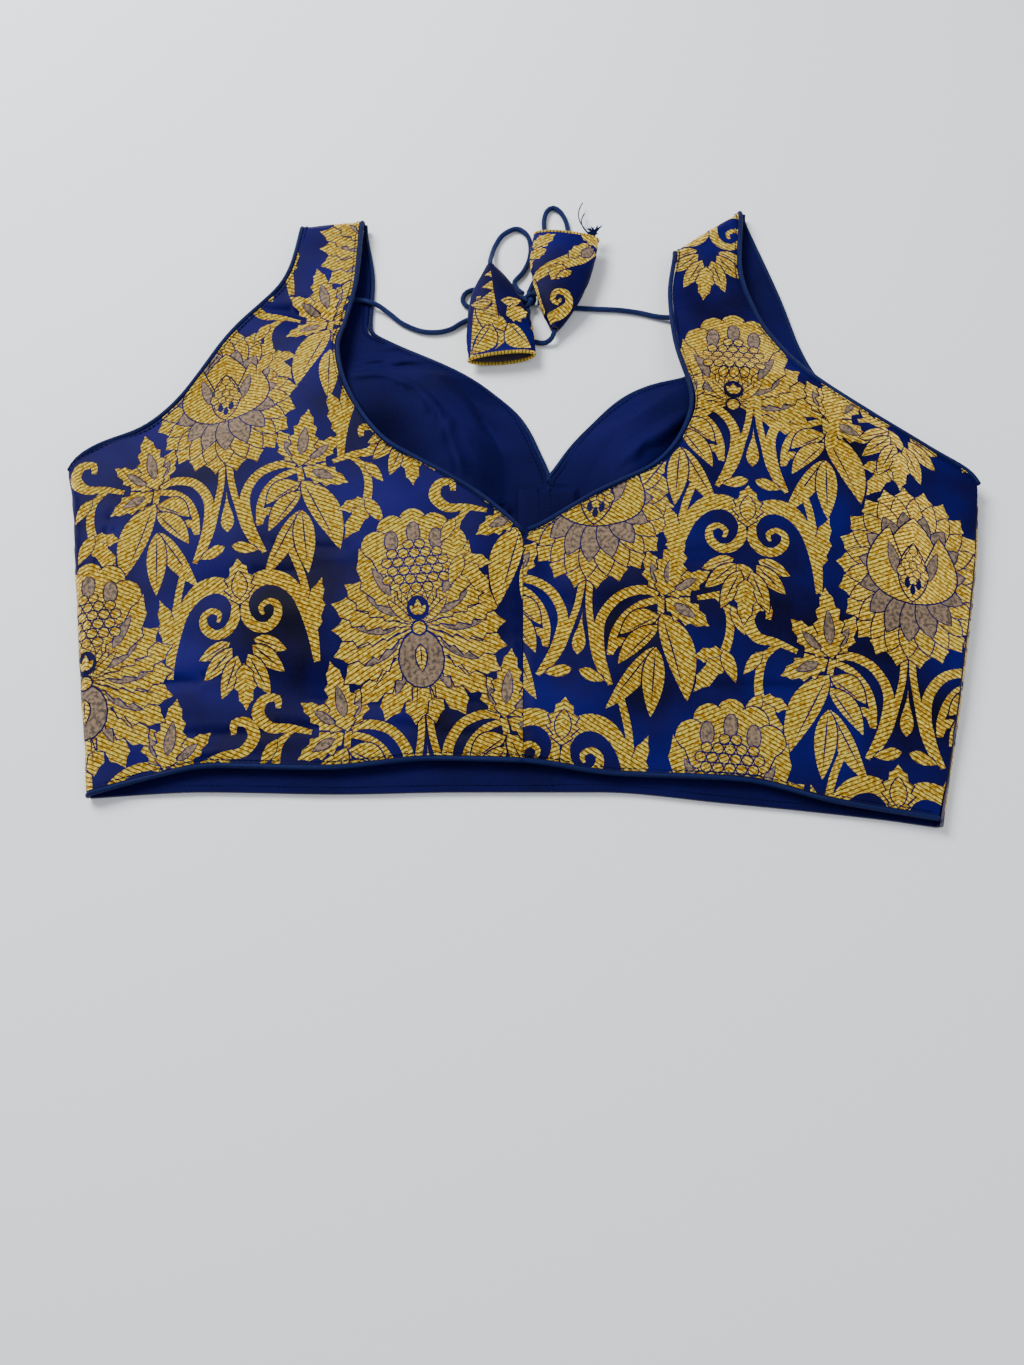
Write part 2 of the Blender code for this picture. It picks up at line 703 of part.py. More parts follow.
def latkan(name, place, collection):
    """A flat cone of brocade, open at its mouth and tied round the cord at its tip."""
    axis = place.mouth - place.tip
    sideways = Vector((axis.y, -axis.x, 0.0)).normalized()
    knots = [ring.share for ring in LATKAN_RINGS]
    rows = []
    for step in range(LATKAN_STEPS + 1):
        share = step / LATKAN_STEPS
        half_width = curve_through([ring.half_width for ring in LATKAN_RINGS], knots, share)
        half_height = curve_through([ring.half_height for ring in LATKAN_RINGS], knots, share)
        centre = place.tip + axis * share
        middle = Vector((centre.x, centre.y, latkan_height(place, share)))
        row = []
        for side in range(LATKAN_SIDES + 1):
            turn = 2 * math.pi * side / LATKAN_SIDES
            up = Vector((0.0, 0.0, half_height * math.sin(turn)))
            row.append(middle + sideways * (half_width * math.cos(turn)) + up)
        rows.append(row)
    sheet = grid_mesh(rows)
    for vertex in sheet.verts:
        vertex.co = (vertex.co - CENTRE) * MM
    bmesh.ops.remove_doubles(sheet, verts=sheet.verts, dist=MERGE)
    bmesh.ops.recalc_face_normals(sheet, faces=sheet.faces)
    mesh = bpy.data.meshes.new(name)
    sheet.to_mesh(mesh)
    sheet.free()
    made = added(name, mesh, collection, BROCADE)
    thick = made.modifiers.new("Wall", "SOLIDIFY")
    thick.thickness = LATKAN_WALL * MM
    thick.offset = -1.0
    mesh.shade_smooth()
    return made


def bow_knot(collection):
    """The knot, a small flattened ball."""
    ball = bmesh.new()
    bmesh.ops.create_uvsphere(ball, u_segments=KNOT_SEGMENTS, v_segments=KNOT_RINGS, radius=1.0)
    size = Vector((KNOT_RADIUS, KNOT_RADIUS, KNOT_HALF_HEIGHT))
    for vertex in ball.verts:
        vertex.co = (vertex.co * size + KNOT - CENTRE) * MM
    mesh = bpy.data.meshes.new("bow_knot")
    ball.to_mesh(mesh)
    ball.free()
    mesh.shade_smooth()
    return added("bow_knot", mesh, collection, NAVY_BIAS)


def placket_rows():
    """The placket's underside, which lies on both linings over the centre front."""
    rows = []
    for step in range(PLACKET_STEPS + 1):
        y = NOTCH_Y - PLACKET_DROP - PLACKET_LENGTH * (1 - step / PLACKET_STEPS)
        row = []
        for column in range(PLACKET_COLUMNS + 1):
            x = FRONT_SEAM_X + PLACKET_WIDTH * (column / PLACKET_COLUMNS - 0.5)
            row.append(Vector((x, y, front_height(x, y) + LINING_TOP + SEAM)))
        rows.append(row)
    return rows


def build():
    clear_scene()
    collection = bpy.data.collections.new("choli_blouse")
    bpy.context.scene.collection.children.link(collection)
    for side, back, front in (("left", BACK_LEFT, FRONT_LEFT), ("right", BACK_RIGHT, FRONT_RIGHT)):
        back_rows, front_rows = back.grid(), front.grid()
        cloth("back_" + side, back_rows, collection, BROCADE)
        cloth("front_" + side, front_rows, collection, BROCADE)
        cloth("lining_" + side, front_rows, collection, NAVY_LINING, lift=LINING_LIFT)
        inner = "right" if side == "left" else "left"
        for panel, rows, part, depth in (
            (back, back_rows, "back", WALL),
            (front, front_rows, "front", LINING_TOP),
        ):
            neck_start = panel.rows.index(panel.neck_row)
            arm_start = panel.rows.index(panel.arm_piping_row)
            trim = NECK_TRIMS[part, side]
            edge_piping(f"piping_{part}_neck_{side}", rows, inner, neck_start, trim, collection, depth)
            edge_piping(f"piping_{part}_arm_{side}", rows, side, arm_start, 0.0, collection, depth)
        edge_piping("piping_back_hem_" + side, back_rows, "hem", 0, 0.0, collection)
    cloth("placket", placket_rows(), collection, NAVY_LINING)
    for name, route in CORD_ROUTES.items():
        tube(name, smooth_route(route), CORD_RADIUS, collection, NAVY_BIAS)
    bow_knot(collection)
    latkan("latkan_left", LATKAN_LEFT, collection)
    latkan("latkan_right", LATKAN_RIGHT, collection)


build()
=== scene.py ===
"""Looks of a sleeveless brocade choli blouse, laid flat with its back up.

Lengths are drawn in millimetres, with X from the centre back seam, and become metres in the CAD frame
when a mesh is made. Cloth pieces follow the same form as their CAD solids, on a finer grid.
"""

import logging
import math
from collections.abc import Callable
from dataclasses import dataclass, field
from enum import Enum
from typing import NamedTuple

import bpy
import numpy as np
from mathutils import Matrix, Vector
from mathutils.bvhtree import BVHTree
from mathutils.geometry import delaunay_2d_cdt


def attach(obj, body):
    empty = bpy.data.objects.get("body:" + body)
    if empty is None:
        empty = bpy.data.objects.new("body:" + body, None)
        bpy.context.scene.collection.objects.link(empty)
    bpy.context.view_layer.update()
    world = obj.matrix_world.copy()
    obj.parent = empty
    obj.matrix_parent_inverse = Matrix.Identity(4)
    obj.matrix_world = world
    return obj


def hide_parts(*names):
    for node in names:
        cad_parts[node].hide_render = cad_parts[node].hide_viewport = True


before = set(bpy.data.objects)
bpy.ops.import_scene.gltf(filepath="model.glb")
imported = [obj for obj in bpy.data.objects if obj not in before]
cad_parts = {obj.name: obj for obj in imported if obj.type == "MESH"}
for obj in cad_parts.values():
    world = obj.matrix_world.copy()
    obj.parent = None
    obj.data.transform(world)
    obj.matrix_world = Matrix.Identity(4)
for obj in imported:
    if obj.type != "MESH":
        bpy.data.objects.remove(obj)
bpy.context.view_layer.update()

LOG = logging.getLogger("choli")

MM = 0.001
CENTRE = np.array((-2.05, 22.8, 0.0))
WALL = 1.2
SEAM = 0.3
LINING_LIFT = WALL + SEAM
LINING_TOP = LINING_LIFT + WALL
PIPING_RADIUS = 1.3
PIPED_EDGE = 2 * PIPING_RADIUS + SEAM
CORD_RADIUS = 1.4
BACK_SEAM_X = -1.6
FRONT_SEAM_X = 11.8
NOTCH_Y = 24.0
SHOULDER_RADIUS = 4.6
CUP_RADIUS = 58.0

# The weave: cloth coordinates for each millimetre, the slant and wave of the binding lines, and the noise
CLOTH_SCALE = 0.002
HATCH_SCALE = 0.01
HATCH_SLANT = (0.46, 0.89)
HATCH_TURN = 330.0
HATCH_WOBBLE = 1.1
HATCH_RANGE = (0.38, 0.95)
HATCH_DEPTH = 2.4
TWIST_DEPTH = 1.6
SLUB = 1.4
FINE_SCALE = 290.0
SLOW_SCALE = 9.0
NOISE_MEAN = 0.49
BUMP_STRENGTH = 0.9
LINE_WEIGHT = 1.6
BROCADE_YARNS = ("satin", "gold", "mauve", "reverse")

# How much more than their true slope the creases lean the normals
CLOTH_LEAN = 1.7
LINING_LEAN = 2.3

# How far above its solid's underside a drawn wall starts, the lining's deepest wrinkle, how high a stitch
# lies on the cloth, and the columns at a side fold where the hems have none
BACK_SHORT = 0.2
LINING_SHORT = 0.1
LINING_DEEPEST = -0.8
STITCH_LIFT = 0.05
ROLLED_COLUMNS = 9

# The camera, the floor and the light, in metres and degrees
LENS = 27.0
SENSOR_WIDTH = 36.0
CAMERA_PLACE = (-0.00481, -0.27847, 0.46891)
CAMERA_TILT = 20.0
FLOOR_HALF = 3.0
FLOOR_COLOUR = (0.80, 0.81, 0.83, 1.0)
FLOOR_ROUGHNESS = 0.9
SKY_COLOUR = (0.86, 0.91, 1.0, 1.0)
SKY_STRENGTH = 0.54


class Thread(Enum):
    """Which yarn shows on the face of the brocade."""

    GROUND = 0
    GOLD = 1
    MAUVE = 2


class Side(Enum):
    """The half of the blouse, as the camera sees it."""

    LEFT = "left"
    RIGHT = "right"


class Row(NamedTuple):
    """A row across a panel: its two ends, and how far the side edge wraps round."""

    left_x: float
    left_y: float
    right_x: float
    right_y: float
    wrap: float


class Fold(NamedTuple):
    """A soft ridge, or a trough where the height is below zero."""

    x: float
    y: float
    heading: float
    length: float
    width: float
    height: float


class Place(NamedTuple):
    """Where a woven flower stands, and how far it is turned."""

    kind: str
    x: float
    y: float
    turn: float


ROWS = {
    ("back", Side.LEFT): (
        Row(-205.0, -143.0, BACK_SEAM_X, -128.0, 1.0),
        Row(-209.5, -118.0, BACK_SEAM_X, -106.0, 1.0),
        Row(-217.5, -76.0, BACK_SEAM_X, -71.0, 1.0),
        Row(-225.0, -36.0, BACK_SEAM_X, -39.0, 1.0),
        Row(-233.0, 9.0, BACK_SEAM_X, -12.0, 1.0),
        Row(-237.0, 30.0, -14.0, 3.5, 0.5),
        Row(-223.0, 44.5, -33.0, 18.0, 0.0),
        Row(-202.0, 54.0, -54.0, 31.0, 0.0),
        Row(-185.5, 71.0, -70.5, 41.5, 0.0),
        Row(-174.5, 90.5, -85.0, 60.0, 0.0),
        Row(-164.5, 110.0, -95.5, 82.5, 0.0),
        Row(-151.0, 129.5, -99.5, 106.0, 0.0),
        Row(-137.0, 146.0, -96.0, 127.0, 0.0),
        Row(-131.5, 161.0, -92.0, 150.5, 0.0),
        Row(-128.0, 190.5, -91.0, 195.0, 0.0),
    ),
    ("back", Side.RIGHT): (
        Row(BACK_SEAM_X, -128.0, 191.5, -156.0, 1.0),
        Row(BACK_SEAM_X, -106.0, 200.5, -126.0, 1.0),
        Row(BACK_SEAM_X, -71.0, 213.5, -76.0, 1.0),
        Row(BACK_SEAM_X, -39.0, 222.0, -44.0, 1.0),
        Row(BACK_SEAM_X, -12.0, 229.5, -9.0, 1.0),
        Row(10.0, -2.5, 234.0, 20.0, 0.7),
        Row(27.5, 8.0, 212.0, 41.0, 0.0),
        Row(48.0, 18.5, 182.0, 60.0, 0.0),
        Row(66.0, 28.5, 158.5, 78.0, 0.0),
        Row(79.5, 46.0, 145.5, 92.0, 0.0),
        Row(86.0, 67.0, 136.0, 109.0, 0.0),
        Row(80.5, 102.0, 128.0, 129.0, 0.0),
        Row(79.0, 137.0, 122.0, 157.5, 0.0),
        Row(85.0, 173.0, 126.0, 203.5, 0.0),
    ),
    ("front", Side.LEFT): (
        Row(-204.0, -143.0, FRONT_SEAM_X, -140.0, 0.0),
        Row(-211.0, -100.0, FRONT_SEAM_X, -94.0, 0.0),
        Row(-220.5, -52.0, FRONT_SEAM_X, -42.0, 0.0),
        Row(-231.0, 6.0, FRONT_SEAM_X, NOTCH_Y, 0.0),
        Row(-231.0, 33.0, 8.0, 45.0, 0.0),
        Row(-200.0, 51.0, -1.5, 65.0, 0.0),
        Row(-182.5, 69.0, -20.0, 82.5, 0.0),
        Row(-171.5, 88.0, -46.0, 98.0, 0.0),
        Row(-161.5, 107.0, -71.0, 113.0, 0.0),
        Row(-148.0, 127.0, -84.5, 124.0, 0.0),
        Row(-134.0, 147.0, -84.0, 153.0, 0.0),
        Row(-128.0, 190.5, -90.0, 195.0, 0.0),
    ),
    ("front", Side.RIGHT): (
        Row(FRONT_SEAM_X, -140.0, 191.5, -157.0, 1.0),
        Row(FRONT_SEAM_X, -104.0, 200.5, -126.0, 1.0),
        Row(FRONT_SEAM_X, -60.0, 213.5, -76.0, 1.0),
        Row(FRONT_SEAM_X, -26.0, 222.0, -44.0, 1.0),
        Row(FRONT_SEAM_X, NOTCH_Y, 229.5, -9.0, 1.0),
        Row(16.0, 36.0, 234.0, 20.0, 0.7),
        Row(30.5, 55.5, 211.0, 38.5, 0.0),
        Row(48.0, 70.5, 187.0, 55.0, 0.0),
        Row(67.0, 79.5, 171.5, 73.0, 0.0),
        Row(87.0, 86.0, 161.0, 88.0, 0.0),
        Row(92.0, 108.0, 152.0, 111.0, 0.0),
        Row(91.5, 136.0, 145.5, 140.0, 0.0),
        Row(86.0, 173.0, 127.5, 203.5, 0.0),
    ),
}
NECK_ROW = {
    ("back", Side.LEFT): 4, ("back", Side.RIGHT): 4,
    ("front", Side.LEFT): 3, ("front", Side.RIGHT): 4,
}
ARM_ROW = {("back", Side.LEFT): 5, ("back", Side.RIGHT): 5, ("front", Side.LEFT): 4, ("front", Side.RIGHT): 5}
ARM_PIPING_ROW = {
    ("back", Side.LEFT): 5, ("back", Side.RIGHT): 5,
    ("front", Side.LEFT): 4, ("front", Side.RIGHT): 6,
}
NECK_TRIM = {
    ("back", Side.LEFT): 3.0, ("back", Side.RIGHT): 5.5,
    ("front", Side.LEFT): 4.0, ("front", Side.RIGHT): 4.0,
}
HEMS = {
    "back": (
        (-205.0, -144.0), (-175.0, -135.5), (-148.0, -130.0), (-96.0, -131.0), (-44.0, -126.5),
        (-2.0, -127.5), (39.0, -133.5), (100.0, -136.5), (143.0, -147.0), (191.5, -155.5),
    ),
    "front": (
        (-205.0, -143.0), (-151.0, -140.0), (-87.0, -141.0), (-31.0, -140.0),
        (34.0, -140.0), (90.0, -145.0), (164.0, -153.0), (191.5, -157.0),
    ),
}
SOLID_FOLDS = {
    "back": (
        Fold(-118.0, 124.0, -8.0, 90.0, 26.0, -3.0),
        Fold(108.0, 100.0, -8.0, 80.0, 24.0, -2.4),
        Fold(-120.0, -38.0, 6.0, 150.0, 34.0, -2.2),
        Fold(-100.0, -98.0, -3.0, 190.0, 34.0, -1.8),
        Fold(-40.0, -66.0, 20.0, 90.0, 30.0, 1.6),
        Fold(42.0, -54.0, -12.0, 110.0, 32.0, -2.0),
        Fold(120.0, -70.0, 4.0, 130.0, 36.0, -2.0),
        Fold(186.0, -40.0, -70.0, 110.0, 32.0, 1.5),
        Fold(-206.0, -30.0, 84.0, 150.0, 26.0, 1.4),
        Fold(150.0, 40.0, -35.0, 90.0, 30.0, -1.6),
        Fold(-160.0, 60.0, 42.0, 100.0, 30.0, -1.6),
    ),
    "front": (
        Fold(-42.0, 84.0, -33.0, 110.0, 44.0, 5.0),
        Fold(58.0, 68.0, 30.0, 84.0, 36.0, 4.5),
    ),
}

# Small creases, which only show here
BACK_CREASES = (
    Fold(-118.0, 127.0, -9.0, 66.0, 9.0, -1.5),
    Fold(-112.0, 134.0, -8.0, 50.0, 8.0, 0.8),
    Fold(112.0, 77.0, -12.0, 84.0, 12.0, -2.2),
    Fold(108.0, 87.0, -12.0, 70.0, 11.0, 1.3),
    Fold(-112.0, -20.0, -4.0, 64.0, 9.0, -0.9),
    Fold(-118.0, -33.0, 3.0, 54.0, 8.0, -0.7),
    Fold(-165.0, -88.0, 8.0, 46.0, 9.0, -0.8),
    Fold(-80.0, -98.0, -6.0, 60.0, 10.0, -0.9),
    Fold(-120.0, -112.0, 3.0, 120.0, 9.0, -1.0),
    Fold(-150.0, -122.0, 5.0, 70.0, 7.0, 0.6),
    Fold(-40.0, -112.0, -8.0, 60.0, 8.0, -0.7),
    Fold(18.0, -46.0, -22.0, 40.0, 7.0, -0.8),
    Fold(22.0, -60.0, -14.0, 44.0, 7.0, -0.8),
    Fold(46.0, -72.0, -20.0, 44.0, 9.0, -0.9),
    Fold(92.0, -26.0, -10.0, 50.0, 9.0, -0.8),
    Fold(112.0, -92.0, -3.0, 84.0, 12.0, -1.2),
    Fold(196.0, -110.0, -25.0, 34.0, 9.0, -0.9),
    Fold(208.0, -60.0, 78.0, 90.0, 7.0, -0.8),
    Fold(-212.0, -20.0, 83.0, 110.0, 8.0, -0.8),
    Fold(-18.0, -96.0, 12.0, 30.0, 6.0, -0.6),
    Fold(174.0, 30.0, -32.0, 60.0, 9.0, -0.7),
    Fold(-190.0, 24.0, 30.0, 60.0, 9.0, -0.7),
    Fold(BACK_SEAM_X, -70.0, 90.0, 240.0, 8.0, -0.6),
)
LINING_CREASES = (
    Fold(-84.0, 84.0, -2.0, 34.0, 10.0, 1.5),
    Fold(-65.0, 79.0, -28.0, 32.0, 10.0, 1.6),
    Fold(-50.0, 65.0, -52.0, 32.0, 10.0, 1.6),
    Fold(-40.0, 49.0, -64.0, 32.0, 10.0, 1.5),
    Fold(-34.0, 32.0, -74.0, 30.0, 9.0, 1.3),
    Fold(-34.0, 76.0, -42.0, 46.0, 11.0, -1.5),
    Fold(-22.0, 58.0, -60.0, 42.0, 10.0, -1.4),
    Fold(-72.0, 97.0, -3.0, 62.0, 7.0, 1.1),
    Fold(-60.0, 91.0, -12.0, 74.0, 6.0, -1.0),
    Fold(-70.0, 110.0, -4.0, 48.0, 7.0, 0.9),
    Fold(70.0, 48.0, 40.0, 46.0, 10.0, 1.5),
    Fold(56.0, 36.0, 52.0, 30.0, 9.0, 1.2),
    Fold(58.0, 62.0, 34.0, 60.0, 9.0, -1.2),
    Fold(70.0, 74.0, 24.0, 44.0, 8.0, 1.0),
    Fold(-2.0, 34.0, -62.0, 34.0, 7.0, -0.7),
    Fold(-5.2, 4.0, 90.0, 40.0, 2.6, -0.8),
    Fold(10.0, 22.6, 0.0, 36.0, 2.2, -0.8),
    Fold(-14.0, 12.0, -22.0, 24.0, 5.0, 0.9),
    Fold(-12.0, 3.0, 48.0, 24.0, 4.0, -0.8),
)

# Woven flowers: the base of a lotus cup, the button of a comb flower, or the base of a scroll's bud
BACK_PLACES = {
    Side.LEFT: (
        Place("lotus", -155.6, 54.8, 7.0),
        Place("scroll", -138.7, -50.1, 6.5),
        Place("comb", -51.4, -63.0, 5.0),
        Place("comb", -210.5, -89.0, 6.0),
        Place("comb", -73.6, 173.3, 5.0),
        Place("scroll", -168.0, 168.0, 7.0),
        Place("scroll", -62.0, 66.0, 6.0),
        Place("lotus", 30.0, 40.0, 7.0),
        Place("lotus", -126.0, -190.0, 6.5),
    ),
    Side.RIGHT: (
        Place("lotus", 34.0, -7.0, -8.0),
        Place("lotus", 187.9, -47.7, -8.0),
        Place("head", 108.0, 62.0, -6.0),
        Place("growth", 122.0, 92.0, -6.0),
        Place("comb", 92.0, -160.0, -5.0),
        Place("scroll", 109.7, -9.5, -6.0),
        Place("scroll", 16.1, -119.0, -6.0),
        Place("scroll", 170.6, -151.6, -7.0),
        Place("scroll", 106.0, 188.0, -8.0),
        Place("scroll", 196.0, 64.0, -8.0),
    ),
}
FRONT_PLACES = {
    Side.LEFT: (
        Place("lotus", -150.0, 52.0, 2.0),
        Place("scroll", -146.0, -58.0, 2.0),
        Place("comb", -68.0, -62.0, 2.0),
        Place("scroll", -72.0, 56.0, 2.0),
        Place("comb", -226.0, -66.0, 2.0),
        Place("lotus", 10.0, 56.0, 2.0),
        Place("scroll", 14.0, -54.0, 2.0),
        Place("comb", -76.0, 168.0, 2.0),
    ),
    Side.RIGHT: (
        Place("lotus", 174.0, 46.0, -2.0),
        Place("scroll", 170.0, -64.0, -2.0),
        Place("comb", 92.0, -66.0, -2.0),
        Place("scroll", 94.0, 52.0, -2.0),
        Place("lotus", 12.0, 56.0, -2.0),
        Place("scroll", 14.0, -54.0, -2.0),
        Place("comb", 104.0, 166.0, -2.0),
        Place("comb", 250.0, -66.0, -2.0),
    ),
}

# The cords' own points, as the CAD has them
LOW = 1.8
OVER = LINING_TOP + SEAM + CORD_RADIUS
KNOT = np.array((2.0, 141.0, 4.0))
KNOT_REACH = 5.8
KNOT_DROP = 0.6
KNOT_SIZE = 1.25
KNOT_RISE = 1.95
CORD_STEP = 2.0
LEFT_TIP_Z = 8.2
RIGHT_TIP_Z = 5.4
CORD_ROUTES = {
    "dori_left": (
        (-99.0, 141.0, OVER), (-91.0, 140.5, OVER), (-82.5, 138.0, OVER - 0.4), (-75.0, 133.0, LOW + 0.6),
        (-68.0, 127.0, LOW), (-58.0, 122.0, LOW), (-49.0, 121.0, LOW), (-41.0, 123.0, LOW),
        (-34.0, 128.0, LOW), (-26.0, 131.5, LOW), (-16.0, 132.0, LOW), (-7.0, 134.0, LOW + 0.4), 222.0,
    ),
    "bow_loop_left": (
        188.0, (-12.0, 139.4, LOW + 0.3), (-22.0, 138.4, LOW), (-30.5, 138.0, LOW), (-34.3, 141.6, LOW),
        (-33.8, 146.6, LOW), (-30.0, 149.8, LOW), (-23.0, 150.0, LOW), (-12.0, 147.6, LOW + 0.3), 153.0,
    ),
    "bow_loop_right": (
        84.0, (4.6, 153.0, LOW + 0.3), (8.0, 162.0, LOW), (11.0, 173.0, LOW), (12.4, 184.0, LOW),
        (11.8, 192.0, LOW), (11.8, 200.5, LOW), (13.6, 206.8, LOW), (17.2, 209.4, LOW), (21.2, 206.4, LOW),
        (24.3, 199.5, LOW), (25.4, 192.0, LOW), (25.2, 183.0, LOW), (22.0, 170.0, LOW), (15.5, 156.5, LOW),
        48.0,
    ),
    "dori_right": (
        (96.0, 129.5, OVER), (88.0, 129.7, OVER - 0.2), (80.0, 130.4, LOW + 0.8), (72.8, 131.9, LOW),
        (64.5, 134.2, LOW), (52.3, 136.2, LOW), (38.4, 136.9, LOW), (26.0, 137.8, LOW),
        (15.0, 139.4, LOW + 0.4), 350.0,
    ),
    "tail_left": (
        118.0, (-4.2, 150.6, LOW + 0.4), (-5.4, 155.6, LOW), (-0.6, 162.4, LOW), (3.0, 171.6, LOW),
        (3.8, 181.0, LOW), (1.7, 189.4, LOW), (-4.3, 193.8, LOW), (-12.0, 189.4, LOW), (-16.6, 181.0, LOW),
        (-18.6, 172.0, LOW + 2.0), (-19.2, 165.6, LOW + 5.2), (-19.05, 161.7, LEFT_TIP_Z),
    ),
    "tail_right": (
        272.0, (1.8, 128.5, LOW + 0.3), (0.6, 122.0, LOW), (2.2, 117.0, LOW), (7.0, 114.2, LOW),
        (12.0, 113.8, LOW + 0.5), (15.2, 115.8, LOW + 2.2), (16.5, 119.3, RIGHT_TIP_Z),
    ),
}


def eased(share: float | np.ndarray) -> float | np.ndarray:
    """A share from 0 to 1, eased at both ends."""
    share = np.clip(share, 0.0, 1.0)
    return share * share * (3.0 - 2.0 * share)


def mixed(low: float, high: float, share: float) -> float:
    """The value between low and high at a share."""
    return low + (high - low) * share


def curve_through(values: list[float], knots: list[float], at: float) -> float:
    """A smooth curve through values at their knots, which flattens at turning points.

    Args:
        values: What the curve passes through.
        knots: Where each value stands.
        at: Where to read the curve.

    Returns:
        The curve's value there.
    """
    last = len(knots) - 1
    index = min(max(sum(1 for knot in knots if knot <= at) - 1, 0), last - 1)
    slopes = [(values[i + 1] - values[i]) / (knots[i + 1] - knots[i]) for i in range(last)]

    def tangent(i: int) -> float:
        """The slope at a knot."""
        if i in (0, last):
            return slopes[0] if i == 0 else slopes[-1]
        before, after = slopes[i - 1], slopes[i]
        return 0.0 if before * after <= 0.0 else 2.0 * before * after / (before + after)

    span = knots[index + 1] - knots[index]
    share = min(1.0, max(0.0, (at - knots[index]) / span))
    square, cube = share * share, share * share * share
    return (
        (2 * cube - 3 * square + 1) * values[index]
        + (cube - 2 * square + share) * span * tangent(index)
        + (3 * square - 2 * cube) * values[index + 1]
        + (cube - square) * span * tangent(index + 1)
    )


def fold_height(folds: tuple[Fold, ...], x: float | np.ndarray, y: float | np.ndarray) -> float | np.ndarray:
    """The sum of the folds' heights at one place, or at many."""
    total = np.zeros_like(np.asarray(x, dtype=float))
    for fold in folds:
        turn = math.radians(fold.heading)
        along = (x - fold.x) * math.cos(turn) + (y - fold.y) * math.sin(turn)
        aside = (y - fold.y) * math.cos(turn) - (x - fold.x) * math.sin(turn)
        reach = (2 * along / fold.length) ** 2 + (2 * aside / fold.width) ** 2
        total = total + fold.height * np.clip(1.0 - reach, 0.0, None) ** 2
    return total


def ripple(x: np.ndarray, y: np.ndarray) -> np.ndarray:
    """Slow waves of a fraction of a millimetre, as pressed cloth has."""
    return (
        0.22 * np.sin(x * 0.083 + 1.7 * np.sin(y * 0.031)) * np.sin(y * 0.117 + 0.6)
        + 0.13 * np.sin(x * 0.19 + y * 0.07 + 2.0 * np.sin(y * 0.05))
        + 0.09 * np.sin(y * 0.31 + 1.3 * np.sin(x * 0.06))
    )


def unit(vectors: np.ndarray, least: float = 0.0) -> np.ndarray:
    """Vectors along the last axis, each divided by its length, or by the least length given."""
    return vectors / np.maximum(np.linalg.norm(vectors, axis=-1, keepdims=True), least)


def distances(points: np.ndarray) -> np.ndarray:
    """How far along a line each of its points lies."""
    return np.concatenate(([0.0], np.cumsum(np.linalg.norm(np.diff(points, axis=0), axis=1))))


def grid_quads(rows: int, columns: int) -> np.ndarray:
    """The faces of a grid, each from its corner nearest the first row and column."""
    index = np.arange(rows * columns).reshape(rows, columns)
    return np.stack((index[:-1, :-1], index[:-1, 1:], index[1:, 1:], index[1:, :-1]), -1).reshape(-1, 4)


def grid_outline(flats: np.ndarray) -> np.ndarray:
    """The edge of a flat grid, anticlockwise."""
    return np.concatenate((flats[0, :-1], flats[:-1, -1], flats[-1, :0:-1], flats[:0:-1, 0]))


def added(name: str, data: bpy.types.ID) -> bpy.types.Object:
    """An object made of some data and linked to the scene."""
    made = bpy.data.objects.new(name, data)
    bpy.context.scene.collection.objects.link(made)
    return made


def smooth_line(points: list, step: float) -> np.ndarray:
    """A smooth line through points, sampled about one step apart.

    Args:
        points: The points that it passes through.
        step: The distance between samples.

    Returns:
        The samples, one row each.
    """
    points = [np.asarray(point, dtype=float) for point in points]
    last = len(points) - 1
    line = []
    for i in range(last):
        before, start = points[max(i - 1, 0)], points[i]
        end, after = points[i + 1], points[min(i + 2, last)]
        parts = max(1, round(float(np.linalg.norm(end - start)) / step))
        for part in range(parts):
            t = part / parts
            line.append(
                start
                + (end - before) * (t / 2)
                + (before * 2 - start * 5 + end * 4 - after) * (t * t / 2)
                + (start * 3 - before - end * 3 + after) * (t * t * t / 2)
            )
    return np.array(line + [points[-1]])


